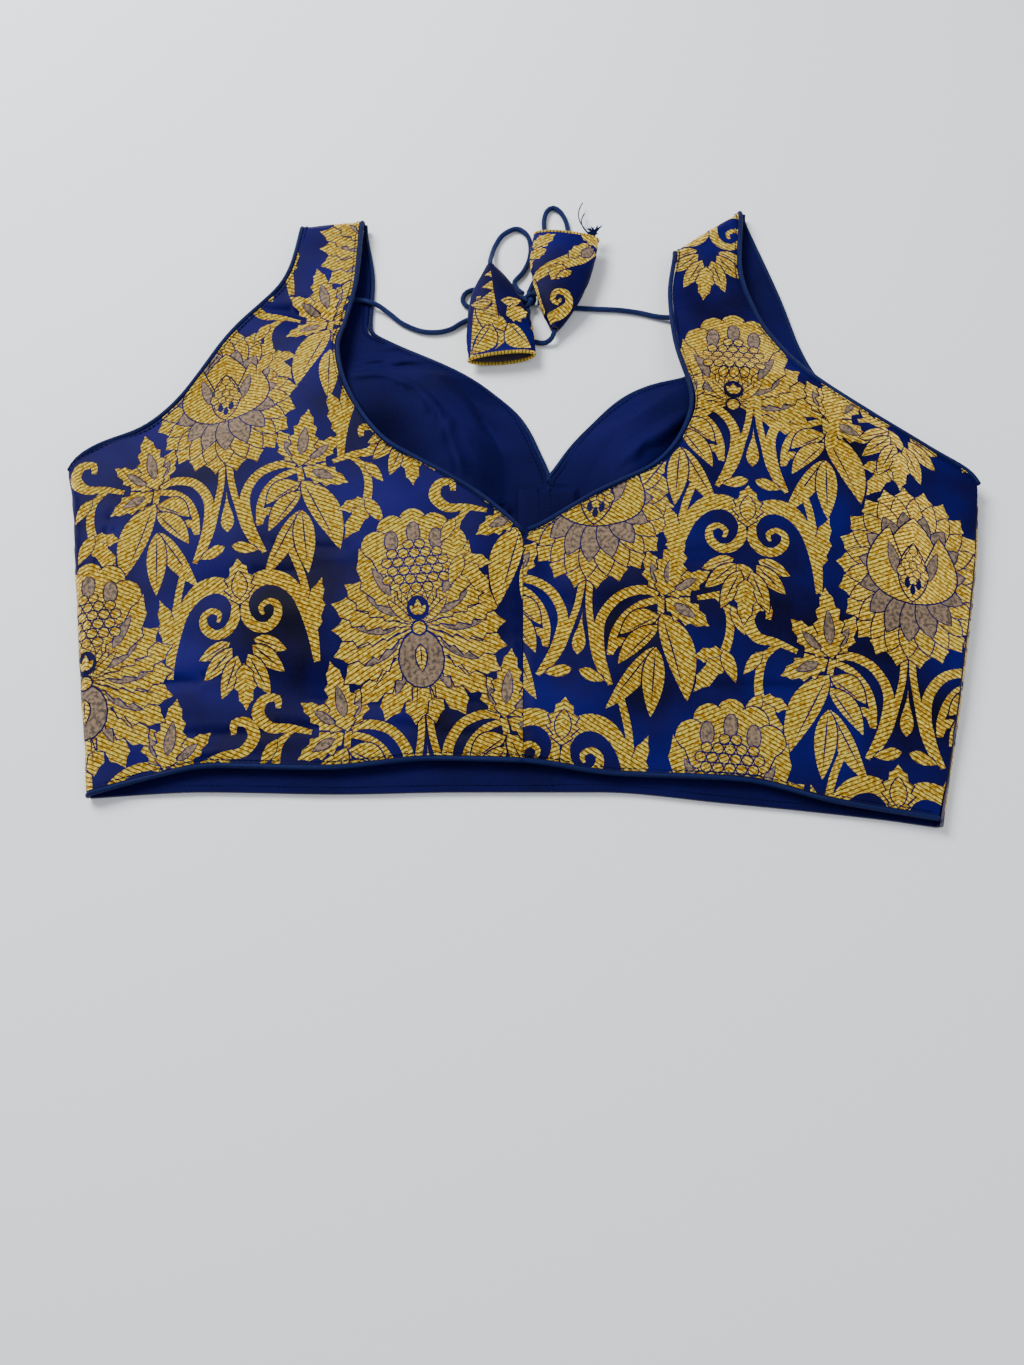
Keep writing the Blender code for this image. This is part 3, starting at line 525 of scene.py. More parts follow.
@dataclass
class Panel:
    """The form of one half of the back or front, as a fine grid of the wall's underside.

    Args:
        part: "back" or "front".
        side: The half.
        row_step: The distance between rows.
        count: The number of columns across.
        roll_count: The number of columns round the back's side fold; the front has twice as many.
        fold_steps: The number of rows over the shoulder fold.
        hem_blend: How far up the rows still follow the hem's curve.
        roll_zone: The width that the rolled columns take where the side lies flat.
        roll_end_rows: Over how many rows they spread out evenly.
        fold_rows: Over how many rows the straps rise to the shoulder fold.
        gore: The flat strip beside the front seam, at most gore_share of a row's width.
        gore_slope: Over what width the front rises from it.
        cup_rim: The height of a cup's rim.
        cup_floor: The share of a cup's radius that lies flat.
        cup_foot: Where the rim has sloped down again, in cup radii.
        dome_inner: Where the back starts to come down from a cup, and dome_outer where it is down.
        dome_lift: How much higher it lies on a cup.
        hem_lie: The height of the back at the hem, and body_lie above it.
        hem_to_body: Over what length it rises from hem_level.
        wrap_back: Where the back's turn round the side fold starts, in degrees.
        wrap_front: How far the front's turn round it goes, in degrees.
        cups: The middles of the cups.
        grid: The underside's points, and flat the same points in the flat cut.
        normals: The cloth's normals there.
        row_at: Each row's place between the rows of the outline.
    """

    part: str
    side: Side
    row_step: float = 4.0
    count: int = 54
    roll_count: int = 8
    fold_steps: int = 7
    hem_blend: float = 70.0
    roll_zone: float = 6.0
    roll_end_rows: float = 3.0
    fold_rows: float = 1.1
    gore: float = 17.0
    gore_share: float = 0.2
    gore_slope: float = 26.0
    cup_rim: float = 13.0
    cup_floor: float = 0.42
    cup_foot: float = 1.65
    dome_inner: float = 1.08
    dome_outer: float = 2.0
    dome_lift: float = 8.6
    hem_lie: float = 5.6
    body_lie: float = 9.0
    hem_to_body: float = 60.0
    hem_level: float = -140.0
    wrap_back: float = 65.0
    wrap_front: float = 142.0
    cups: tuple = ((-84.5, 13.0), (108.5, 12.0))
    grid: np.ndarray = field(init=False)
    flat: np.ndarray = field(init=False)
    normals: np.ndarray = field(init=False)
    row_at: list = field(init=False)

    def __post_init__(self) -> None:
        """Works out the edges, then the grid, its flat cut and its normals."""
        rows = ROWS[self.part, self.side]
        self.is_back = self.part == "back"
        self.hem_edge = PIPED_EDGE if self.is_back else 0.0
        self.seam_gap = 0.4 if self.is_back else 0.1
        self.wraps = [row.wrap for row in rows]
        left = self.inset([np.array((row.left_x, row.left_y)) for row in rows], 1)
        right = self.inset([np.array((row.right_x, row.right_y)) for row in rows], -1)
        fold_way = right[-1] - left[-1]
        fold_way = fold_way / np.linalg.norm(fold_way)
        left[-1] = left[-1] + fold_way * PIPED_EDGE
        right[-1] = right[-1] - fold_way * PIPED_EDGE
        strap_way = left[-1] + right[-1] - left[-2] - right[-2]
        strap_way = strap_way / np.linalg.norm(strap_way)
        self.outward = strap_way / float(strap_way @ np.array((-fold_way[1], fold_way[0])))
        left[-1] = left[-1] - self.outward * SHOULDER_RADIUS
        right[-1] = right[-1] - self.outward * SHOULDER_RADIUS
        self.left, self.right = left, right
        outer = left if self.side is Side.LEFT else right
        self.row_at = [0.0]
        for i in range(len(outer) - 1):
            parts = max(1, round(float(np.linalg.norm(outer[i + 1] - outer[i])) / self.row_step))
            self.row_at += [i + (part + 1) / parts for part in range(parts)]
        self.make_grid()

    def inset(self, points: list[np.ndarray], turn: int) -> list[np.ndarray]:
        """The cloth's edge, which lies inside the outline by the piping's width where it is piped.

        Args:
            points: The outline's points.
            turn: 1 for the left edge, and -1 for the right.

        Returns:
            The moved points.
        """
        is_outer = (turn == 1) == (self.side is Side.LEFT)
        first = (ARM_ROW if is_outer else NECK_ROW)[self.part, self.side]
        moved = []
        for i, point in enumerate(points):
            way = points[min(i + 1, len(points) - 1)] - points[max(i - 1, 0)]
            way = way / np.linalg.norm(way)
            inward = np.array((way[1], -way[0])) * turn
            if i == len(points) - 1:
                moved.append(point.copy())
            elif i > first:
                moved.append(point + inward * PIPED_EDGE)
            elif is_outer:
                moved.append(point.copy())
            else:
                moved.append(point + np.array((turn * self.seam_gap / 2, -PIPED_EDGE if i == first else 0.0)))
        return moved

    def cup_reach(self, cup: tuple[float, float], x: float, y: float) -> float:
        """The distance from a cup's middle, in cup radii."""
        return math.hypot(x - cup[0], y - cup[1]) / CUP_RADIUS

    def front_height(self, x: float, y: float) -> float:
        """The underside of the front: flat but for the cups' bowls and the neckline's puff."""
        rise = 0.0
        for cup in self.cups:
            reach = self.cup_reach(cup, x, y)
            inside = eased((reach - self.cup_floor) / (1.0 - self.cup_floor))
            outside = 1.0 - eased((reach - 1.0) / (self.cup_foot - 1.0))
            rise = max(rise, self.cup_rim * min(inside, outside))
        gore = eased((abs(x - FRONT_SEAM_X) - self.gore) / self.gore_slope)
        return float(gore * (rise + fold_height(SOLID_FOLDS["front"], x, y)))

    def back_height(self, x: float, y: float) -> float:
        """The underside of the back, which bridges the cups and lies low at the hem."""
        lie = mixed(self.hem_lie, self.body_lie, eased((y - self.hem_level) / self.hem_to_body))
        bare = 1.0
        for cup in self.cups:
            bare *= eased((self.cup_reach(cup, x, y) - self.dome_inner) / (self.dome_outer - self.dome_inner))
        return float(lie + self.dome_lift * (1.0 - bare) + fold_height(SOLID_FOLDS["back"], x, y))

    def ends(self, at: float) -> list[np.ndarray]:
        """The left and right ends of the row at a row number."""
        knots = list(range(len(self.left)))
        return [
            np.array([curve_through([point[axis] for point in edge], knots, at) for axis in (0, 1)])
            for edge in (self.left, self.right)
        ]

    def side_roll(
        self, wrap: float, width: float, at: float, edge_height: float
    ) -> list[tuple[float, float]]:
        """Distance in, and change of height, of the columns that turn round the side fold."""
        steps = self.roll_count if self.is_back else self.roll_count * 2
        base_steps, base_count = (2, 12) if self.is_back else (4, 10)
        even = width * base_steps / (base_count + base_steps)
        flat_row = self.wraps.index(0.0)
        zone = mixed(self.roll_zone, even, eased((at - flat_row) / self.roll_end_rows))
        turns = []
        for i in range(steps + 1):
            if self.is_back:
                down = self.side is Side.LEFT
                radius = edge_height - LINING_TOP - SEAM if down else (edge_height - WALL) / 2
                angle = math.radians(mixed(0.0 if down else self.wrap_back, 90.0, i / steps))
                wrapped = (WALL + radius * (1 - math.cos(angle)), -radius * (1 - math.sin(angle)))
            else:
                radius = (edge_height + WALL) / 2
                angle = math.radians(self.wrap_front * (1 - i / steps))
                wrapped = (radius * (1 - math.sin(angle)), radius * (1 - math.cos(angle)))
            turns.append((mixed(zone * i / steps, wrapped[0], wrap), wrapped[1] * wrap))
        return turns

    def hem_shift(self, x: float, y: float) -> float:
        """How far a row near the hem bends to follow the hem's own curve."""
        left, right = self.ends(0.0)
        straight = mixed(left[1], right[1], (x - left[0]) / (right[0] - left[0]))
        hem = HEMS[self.part]
        target = curve_through([point[1] for point in hem], [point[0] for point in hem], x) + self.hem_edge
        return (target - straight) * (1.0 - eased(max(0.0, y - straight) / self.hem_blend))

    def make_row(self, at: float) -> tuple[list[np.ndarray], int]:
        """One row of the underside, and how many of its columns are rolled."""
        left, right = self.ends(at)
        width = float(np.linalg.norm(right - left))
        start, way = (left, right - left) if self.side is Side.LEFT else (right, left - right)
        way = way / width
        edge_height = self.back_height(*start)
        wrap = curve_through(self.wraps, list(range(len(self.wraps))), at)
        roll, inner = [], 0.0
        if any(self.wraps):
            *roll, (inner, _) = self.side_roll(wrap, width, at, edge_height)
        gore = 0.0 if self.is_back else min(self.gore, width * self.gore_share)
        spread = [(mixed(inner, width - gore, i / self.count), 0.0) for i in range(self.count + 1)]
        columns = roll + spread + ([] if self.is_back else [(width, 0.0)])
        near_fold = eased(1.0 - (len(self.left) - 1 - at) / self.fold_rows)
        points = []
        for distance, change in columns:
            place = start + way * distance
            y = place[1] + self.hem_shift(place[0], place[1])
            if self.is_back:
                lie = mixed(self.back_height(*place), 2 * SHOULDER_RADIUS - WALL, near_fold)
                height = (edge_height if wrap > 0.0 and change < 0.0 else lie) + change
            elif change > 0.0:
                height = change
            else:
                height = self.front_height(*place) * (1.0 - near_fold)
            points.append(np.array((place[0], y, height)))
        return points, len(roll)

    def make_grid(self) -> None:
        """The grid, its flat cut, and its normals, rows from the hem and columns from the left."""
        rows, flats = [], []
        for at in self.row_at:
            points, rolled = self.make_row(at)
            flat = [point[:2].copy() for point in points]
            out = points[0][:2] - points[rolled + 1][:2]
            out = out / np.linalg.norm(out)
            for i in range(rolled - 1, -1, -1):
                flat[i] = flat[i + 1] + out * np.linalg.norm(points[i] - points[i + 1])
            is_left = self.side is Side.LEFT
            rows.append(points if is_left else points[::-1])
            flats.append(flat if is_left else flat[::-1])
        push = np.array((*self.outward, 0.0))
        start, flat_start = rows[-1], flats[-1]
        radius = SHOULDER_RADIUS - WALL if self.is_back else SHOULDER_RADIUS
        for i in range(self.fold_steps):
            turn = math.radians(84.0 * (i + 1) / self.fold_steps)
            height = radius * (1 - math.cos(turn))
            if self.is_back:
                height = SHOULDER_RADIUS + radius * math.cos(turn)
            rows.append([np.array((p[0], p[1], height)) + push * radius * math.sin(turn) for p in start])
            flats.append([p + self.outward * radius * turn for p in flat_start])
        self.grid = np.array(rows)
        self.flat = np.array(flats)
        across = np.gradient(self.grid, axis=1)
        along = np.gradient(self.grid, axis=0)
        self.normals = unit(np.cross(across, along))


def lie_on(
    flats: np.ndarray, grid: np.ndarray, grid_normals: np.ndarray, flat: np.ndarray
) -> tuple[np.ndarray, np.ndarray]:
    """Where points of a flat cut lie on its form, and the cloth's normals there.

    Args:
        flats: The grid's flat cut.
        grid: The grid's places.
        grid_normals: The grid's normals.
        flat: The points of the flat cut to place.

    Returns:
        The places and the normals.
    """
    quads = grid_quads(*flats.shape[:2])
    tris = np.concatenate((quads[:, [0, 1, 2]], quads[:, [0, 2, 3]]))
    flat_points = flats.reshape(-1, 2)
    tree = BVHTree.FromPolygons([(x, y, 0.0) for x, y in flat_points.tolist()], tris.tolist())
    hits = [tree.find_nearest((x, y, 0.0)) for x, y in flat.tolist()]
    found = tris[[hit[2] for hit in hits]]
    spot = np.array([(hit[0].x, hit[0].y) for hit in hits])
    p, q, r = (flat_points[found[:, k]] for k in range(3))
    area = np.cross(q - p, r - p)
    area = np.where(np.abs(area) < 1e-9, 1e-9, area)
    share_q = np.cross(spot - p, r - p) / area
    share_r = np.cross(q - p, spot - p) / area
    shares = np.stack((1.0 - share_q - share_r, share_q, share_r), 1)[:, :, None]
    places = (grid.reshape(-1, 3)[found] * shares).sum(1)
    normals = (grid_normals.reshape(-1, 3)[found] * shares).sum(1)
    return places, unit(normals)


def turned(points: np.ndarray, x: float, y: float, degrees: float) -> np.ndarray:
    """Points of a motif, turned and moved to their place."""
    turn = math.radians(degrees)
    right, up = np.array((math.cos(turn), math.sin(turn))), np.array((-math.sin(turn), math.cos(turn)))
    return points[:, :1] * right + points[:, 1:] * up + np.array((x, y))


def band(points: tuple, widths: tuple, step: float = 2.4) -> np.ndarray:
    """A woven stem: a smooth band through points, as wide as each width says.

    Args:
        points: The band's middle line.
        widths: Its width at each point.
        step: The distance between samples.

    Returns:
        The outline.
    """
    line = smooth_line([(*point, width) for point, width in zip(points, widths)], step)
    way = unit(np.gradient(line[:, :2], axis=0))
    aside = np.stack((-way[:, 1], way[:, 0]), 1) * line[:, 2:] / 2
    return np.concatenate((line[:, :2] - aside, (line[:, :2] + aside)[::-1]))


def leaf(
    base: tuple, tip: tuple, width: float, bend: float = 0.0, teeth: int = 0, belly: float = 0.8
) -> np.ndarray:
    """A pointed leaf or petal.

    Args:
        base: Where it grows from.
        tip: Its point.
        width: Its widest breadth.
        bend: How far its middle bows aside.
        teeth: The number of teeth on each edge, or 0 for a plain edge.
        belly: Where it is widest: below 1 is nearer the base.

    Returns:
        The outline.
    """
    base, tip = np.array(base, dtype=float), np.array(tip, dtype=float)
    way = tip - base
    aside = np.array((-way[1], way[0])) / np.linalg.norm(way)
    if teeth:
        steps = teeth + 0.5
        shares = [share for k in range(teeth) for share in ((k + 0.72) / steps, (k + 0.98) / steps)]
        swell = [1.16, 0.8] * teeth
    else:
        count = max(4, round(float(np.linalg.norm(way)) / 3.2))
        shares = [(k + 1) / (count + 1) for k in range(count)]
        swell = [1.0] * count
    edges = []
    for turn in (-1, 1):
        edge = []
        for share, more in zip(shares, swell):
            half = width / 2 * math.sin(math.pi * share**belly) ** 0.85 * more
            edge.append(base + way * share + aside * (turn * half + bend * 4 * share * (1 - share)))
        edges.append(edge)
    return np.array([base, *edges[0], tip, *edges[1][::-1]])


def oval(x: float, y: float, wide: float, high: float, count: int = 10) -> np.ndarray:
    """An oval's outline."""
    turns = np.arange(count) * 2 * math.pi / count
    return np.stack((x + wide / 2 * np.cos(turns), y + high / 2 * np.sin(turns)), 1)


def grown(outline: np.ndarray, rim: float) -> np.ndarray:
    """An outline made larger all round, for the dark line that parts two shapes."""
    after, before = np.roll(outline, -1, 0), np.roll(outline, 1, 0)
    way = unit(after - before, 1e-6)
    area = np.cross(outline, after).sum()
    return outline + np.stack((way[:, 1], -way[:, 0]), 1) * (rim if area > 0 else -rim)


def within(points: np.ndarray, outline: np.ndarray) -> np.ndarray:
    """Which points lie inside an outline, whichever way it is wound.

    Args:
        points: The points to look at.
        outline: The outline.

    Returns:
        True for each point inside.
    """
    after = np.roll(outline, -1, 0)
    x, y = points[:, :1], points[:, 1:]
    run_x, run_y = after[:, 0] - outline[:, 0], after[:, 1] - outline[:, 1]
    side = run_x * (y - outline[:, 1]) - (x - outline[:, 0]) * run_y
    rises = (outline[:, 1] <= y) & (after[:, 1] > y) & (side > 0.0)
    falls = (outline[:, 1] > y) & (after[:, 1] <= y) & (side < 0.0)
    return rises.sum(1) != falls.sum(1)


@dataclass
class Drawing:
    """The shapes of one motif, in the order in which they lie on each other."""

    shapes: list = field(default_factory=list)

    def put(
        self, outline: np.ndarray, thread: Thread = Thread.GOLD, rim: float = 0.0, twin: bool = True
    ) -> None:
        """Adds a shape, and its twin on the other side of the motif's own axis.

        Args:
            outline: The shape's outline.
            thread: The yarn that fills it.
            rim: The width of the dark line round it.
            twin: Whether the other side has it too.
        """
        for shape in (outline, outline * np.array((-1.0, 1.0))) if twin else (outline,):
            if rim:
                self.shapes.append((grown(shape, rim * LINE_WEIGHT), Thread.GROUND))
            self.shapes.append((shape, thread))

    def put_leaf(self, base: tuple, tip: tuple, width: float, core: bool = False, **shape: float) -> None:
        """Adds a leaf with its dark middle vein, or with a mauve core."""
        self.put(leaf(base, tip, width, **shape), rim=0.45)
        start, end = np.array(base), np.array(tip)
        if core:
            first, last = tuple(mixed(start, end, 0.2)), tuple(mixed(start, end, 0.68))
            self.put(leaf(first, last, width * 0.36), Thread.MAUVE, 0.3)
        else:
            first, last = tuple(mixed(start, end, 0.04)), tuple(mixed(start, end, 0.86))
            self.put(leaf(first, last, 0.75), Thread.GROUND)


def draw_growth(drawing: Drawing, drop: float) -> None:
    """Adds the stems, arcs, sprays and hanging leaves under a flower.

    Args:
        drawing: The flower's drawing.
        drop: How far lower than under a lotus they hang.
    """

    def low(*points: tuple) -> tuple:
        """Points moved down by the drop."""
        return tuple((x, y - drop) for x, y in points)

    drawing.put(band(
        low((1.8, -26), (2.6, -40), (5.5, -54), (8.5, -66), (12.5, -76)),
        (3.2, 3.2, 3.4, 3.6, 2.4),
    ))
    drawing.put(leaf(*low((0, -45), (0, -68)), 6.5, belly=2.2), rim=0.5, twin=False)
    drawing.put(band(
        low((35, -34), (27, -32.5), (16, -37), (9.2, -49), (10.5, -66), (17.5, -81)),
        (3.4, 4.4, 4.6, 5, 5.6, 2.4),
    ))
    drawing.put(band(
        low((35, -37), (27.5, -39.5), (20.5, -46), (16.3, -56), (15.6, -66)),
        (3, 3.6, 3.8, 3.6, 2.6),
    ))
    drawing.put(band(low((15.5, -65), (17.5, -60), (21.5, -58.5), (23.5, -61.5)), (3.6, 4, 4, 2.4), 1.6))
    drawing.put(leaf(*low((1.6, -75.5), (14.5, -79.5)), 6.2), rim=0.3)
    drawing.put(band(low((36.5, -35), (37.5, -42), (37, -50)), (3.2, 3, 2.4)))
    for base, tip, width, bend in (
        ((37, -44), (19.5, -55), 9.5, -3.0), ((37, -49), (20, -70), 9.0, -2.0),
        ((36, -60), (16.5, -93), 9.5, 1.2), ((37, -60), (38, -94), 10.5, 0.0),
        ((38, -43), (54.5, -84), 14.5, 3.2),
    ):
        drawing.put_leaf(*low(base, tip), width, bend=bend)
    for base, tip, width, teeth in (
        ((36, -33), (27.5, -12), 10.5, 3), ((39, -36), (61, -47), 11.5, 4),
        ((39, -34), (59, -19), 11.0, 4), ((37, -35), (43.5, -1), 13.5, 5),
    ):
        drawing.put_leaf(*low(base, tip), width, core=True, teeth=teeth)
    drawing.put(band(
        low((54, -34), (64, -31), (73.5, -30), (79, -23), (76, -16), (70, -16), (69.5, -21)),
        (2.4, 3.6, 5.2, 6, 4.8, 4, 2.4), 1.8,
    ))
    drawing.put(band(low((63, -32), (69.5, -39), (71, -50), (69, -60)), (2.4, 3.8, 4, 4.6)))
    for base, tip, width, teeth in (
        ((70.5, -36), (78.5, -49), 5.4, 0), ((70, -59), (55, -62), 8.0, 2),
        ((69.5, -60), (57, -79), 9.0, 2), ((69, -57), (76.5, -72), 6.5, 0),
    ):
        drawing.put(leaf(*low(base, tip), width, teeth=teeth), rim=0.3)


def draw_lotus() -> Drawing:
    """The lotus: two rings of petals, a gold cup with scales, and dark seeds."""
    drawing = Drawing()
    draw_growth(drawing, 0.0)
    middle, count = np.array((0.0, 14.0)), 22
    rings = ((38.5, 48.0, 0.5, 13.0, 3), (34.0, 42.5, 0.4, 10.0, 0))
    for ring, (wide, high, start, width, teeth) in enumerate(rings):
        for k in range(count):
            turn = 2 * math.pi * (k + ring / 2) / count
            way = np.array((math.cos(turn) * wide, math.sin(turn) * high))
            petal = leaf(tuple(middle + way * start), tuple(middle + way), width, teeth=teeth, belly=1.05)
            drawing.put(petal, rim=0.4, twin=False)
    for k in range(15):
        turn = 2 * math.pi * (k + 0.25) / 15
        way = np.array((math.cos(turn) * 27.5, math.sin(turn) * 34.0))
        petal = leaf(tuple(middle + way * 0.3), tuple(middle + way), 10.0, belly=1.1)
        drawing.put(petal, Thread.MAUVE, 0.4, False)
    drawing.put(leaf((0, -1), (0, 45), 27.0, belly=1.0), rim=0.5, twin=False)
    drawing.put(leaf((0.5, -1), (13.5, 37), 19.0, bend=-7.5, belly=0.85), rim=0.5)
    drawing.put(leaf((7.5, 12), (13.0, 29), 5.0), Thread.MAUVE, 0.3)
    drawing.put(leaf((0, 0), (0, 31), 15.0, belly=0.9), rim=0.5, twin=False)
    for row, count_across in enumerate((3, 4, 3, 2, 1)):
        for k in range(count_across):
            x = (k - (count_across - 1) / 2) * 4.1
            drawing.put(leaf((x, 8.0 + row * 4.0), (x, 14.2 + row * 4.0), 4.4), rim=0.35, twin=False)
    for x, y in ((0.0, 3.0), (2.6, 6.0)):
        drawing.put(leaf((x, y), (x * 1.3, y + 6.5), 3.0), Thread.GROUND, twin=x > 0.0)
    return drawing


def draw_comb(whole: bool = True) -> Drawing:
    """The comb flower: a scalloped crown, a comb of discs, side petals and a mauve lobe.

    Args:
        whole: Whether the lower half and the growth show, or lie in a fold.

    Returns:
        The flower's drawing.
    """
    drawing = Drawing()
    if whole:
        draw_growth(drawing, 11.0)
    for degrees, length, core in (
        (-84, 46, False), (-66, 47, True), (-48, 45, False), (-31, 44, True),
        (-14, 43, False), (3, 42, True), (20, 44, False), (36, 43, True),
    ):
        if not whole and degrees < -20:
            continue
        turn = math.radians(degrees)
        tip = (math.cos(turn) * length, math.sin(turn) * length)
        drawing.put_leaf((tip[0] * 0.08, tip[1] * 0.08), tip, 14.5, core=core, teeth=5, belly=1.35)
    for x, y in ((0.0, 55.0), (10.5, 52.0), (18.5, 43.5)):
        drawing.put(oval(x, y, 15.0, 17.5, 14), rim=0.4, twin=x > 0.0)
    drawing.put(leaf((0, 2), (0, 62), 40.0, belly=1.15), twin=False)
    drawing.put_leaf((9, 10), (27, 44), 12.0, core=True, bend=-3.5, teeth=3)
    for x, y in ((0.0, 50.5), (11.0, 46.0)):
        drawing.put(oval(x, y, 6.4, 11.5), Thread.MAUVE, 0.35, twin=x > 0.0)
    for row in range(6):
        for k in range(-3, 4):
            x, y = (k + 0.5 * (row % 2)) * 5.5, 20.5 + row * 4.7
            if (x / 16.5) ** 2 + ((y - 31.0) / 13.5) ** 2 < 1.0:
                drawing.put(oval(x, y, 4.7, 4.7, 8), rim=0.42, twin=False)
    for k in range(1, 5):
        drawing.put(leaf((0.8 * k, 3.0), (3.6 * k, 19.5 - k), 3.4, bend=-0.8), rim=0.35)
    drawing.put(oval(0.0, 10.0, 11.0, 13.0, 12), Thread.GROUND, twin=False)
    drawing.put(leaf((0, 6.5), (0, 14.5), 3.6), twin=False)
    drawing.put(leaf((0.5, 6.5), (3.8, 11.5), 2.6))
    if whole:
        drawing.put(oval(0.0, -14.5, 21.0, 26.0, 16), Thread.MAUVE, 0.5, False)
        drawing.put_leaf((0, -8), (0, -20), 5.0)
    drawing.put(oval(0.0, 0.0, 6.2, 6.2, 12), rim=0.6, twin=False)
    return drawing


def draw_bare_growth() -> Drawing:
    """The growth alone, where its flower lies in a fold."""
    drawing = Drawing()
    draw_growth(drawing, 0.0)
    return drawing


def draw_tassel_leaf() -> Drawing:
    """The tassel on the left: a long leaf that curls to the mouth, small teeth, and a dark seam."""
    drawing = Drawing()
    tones = {"twin": False, "rim": 0.45}
    drawing.put(band(((-14, 62), (-13, 48), (-11.5, 36), (-9, 24)), (7, 6, 4.6, 2.2)), **tones)
    drawing.put(band(((-9.5, 26), (-7, 37), (-1.5, 46), (2.5, 52)), (3, 10, 11.5, 3.2)), **tones)
    drawing.put(leaf((-16, 58), (5, 51), 13.0, bend=-2.0), **tones)
    drawing.put(leaf((-14, 60), (-1, 55), 4.6, bend=0.8), Thread.GROUND, twin=False)
    for y, size in ((8, 4.0), (16.5, 6.5), (24.5, 8.5), (33.5, 7.5)):
        tooth = (
            (-0.5, y + size * 0.9), (-0.4 - size * 0.35, y + size * 0.62),
            (-0.4 - size, y + size * 0.3), (-0.5, y - size * 0.35),
        )
        drawing.put(np.array(tooth), **tones)
    drawing.put_leaf((2.5, 29.5), (14.5, 28), 6.5, bend=1.4)
    drawing.put(leaf((4, 39), (17, 36), 10.5, teeth=3), **tones)
    drawing.put_leaf((4.5, 44), (16.5, 58), 11.5, bend=3.0)
    drawing.put(leaf((-20, 30), (-13, 12), 5.0), **tones)
    drawing.put(leaf((20, 40), (24, 58), 8.0, teeth=2), **tones)
    drawing.put(leaf((-27, 60), (-24, 30), 9.0), **tones)
    drawing.put(band(((0.3, 4), (0.6, 22), (0.9, 40)), (0.7, 0.7, 0.7)), Thread.GROUND, twin=False)
    return drawing


def draw_tassel_curl() -> Drawing:
    """The tassel on the right: a leaf across it with a mauve pod, a small leaf, and a curl at the tip."""
    drawing = Drawing()
    tones = {"twin": False, "rim": 0.45}
    drawing.put(band(((16, 27), (8, 33), (-1, 38), (-10, 44), (-17, 51)), (4.5, 7.5, 8.2, 9.5, 6.5)), **tones)
    drawing.put(leaf((-4, 42), (-14, 55), 7.0, teeth=3), **tones)
    drawing.put(band(((17, 27), (14.5, 21), (12, 15), (8, 8)), (5.0, 4.6, 4.0, 3.0)), **tones)
    drawing.put(leaf((-11, 44), (-17, 52), 5.4), Thread.MAUVE, 0.4, False)
    drawing.put(leaf((-1, 36.5), (5, 26), 9.5, teeth=3), **tones)
    drawing.put(leaf((-6, 33), (2, 28), 4.5), **tones)
    drawing.put(band(
        ((4, 4), (-2, 7.5), (-6.5, 13), (-4, 18.5), (1.5, 18.5), (3, 14.5), (0, 12.5), (-1.6, 15)),
        (6, 6, 4.6, 4, 3.4, 2.8, 2.2, 1.4), 1.5,
    ), **tones)
    for base, tip, width, teeth in (
        ((18, 49), (6, 58), 9.0, 3), ((19, 43), (9, 47), 8.0, 3), ((24, 36), (16, 41), 7.0, 2),
        ((-8, 60), (-24, 54), 6.5, 3), ((-26, 46), (-20, 22), 8.0, 2), ((28, 58), (26, 30), 8.0, 0),
    ):
        drawing.put(leaf(base, tip, width, teeth=teeth), **tones)
    return drawing


def draw_scroll() -> Drawing:
    """The scroll: a bud over two inward spirals, arms that reach out and down, and a hanging fan."""
    drawing = Drawing()
    drawing.put(band(((26, 26), (30.5, 12), (33.5, -4)), (3.4, 3.6, 3.2)))
    drawing.put(leaf((35.5, -20), (40.5, 9), 9.0, bend=1.5, teeth=3), rim=0.3)
    drawing.put(band(
        ((2.2, -1), (4.5, 7.5), (11.5, 12.3), (20.5, 10.5), (27.5, 3), (31.5, -7), (34.5, -19), (35.5, -33)),
        (3.0, 6.6, 8.2, 8.0, 6.8, 5.6, 5.2, 3.0),
    ))
    drawing.put(band(
        ((2.6, 0), (2.8, -6.5), (7, -12), (13, -13.2), (18, -9), (18.4, -3.6), (14.5, -0.8), (10.4, -3.4),
         (11.4, -7.2)),
        (3.4, 5, 5, 4.8, 4.4, 3.6, 3, 2.6, 1.6), 1.5,
    ))
    drawing.put(leaf((0, 0), (0, 23.5), 13.5, teeth=4, belly=0.9), rim=0.5, twin=False)
    drawing.put(leaf((0, 3), (0, 17.5), 7.5, belly=0.9), rim=0.4, twin=False)
    for base, tip, width in (
        ((6, -18), (21.5, -25.5), 7.6), ((5, -21), (19.5, -35.5), 8.2), ((2.6, -25), (11.5, -45.5), 8.4),
    ):
        drawing.put_leaf(base, tip, width)
    drawing.put(leaf((0, -29), (0, -52.5), 9.5, teeth=3), rim=0.4, twin=False)
    return drawing


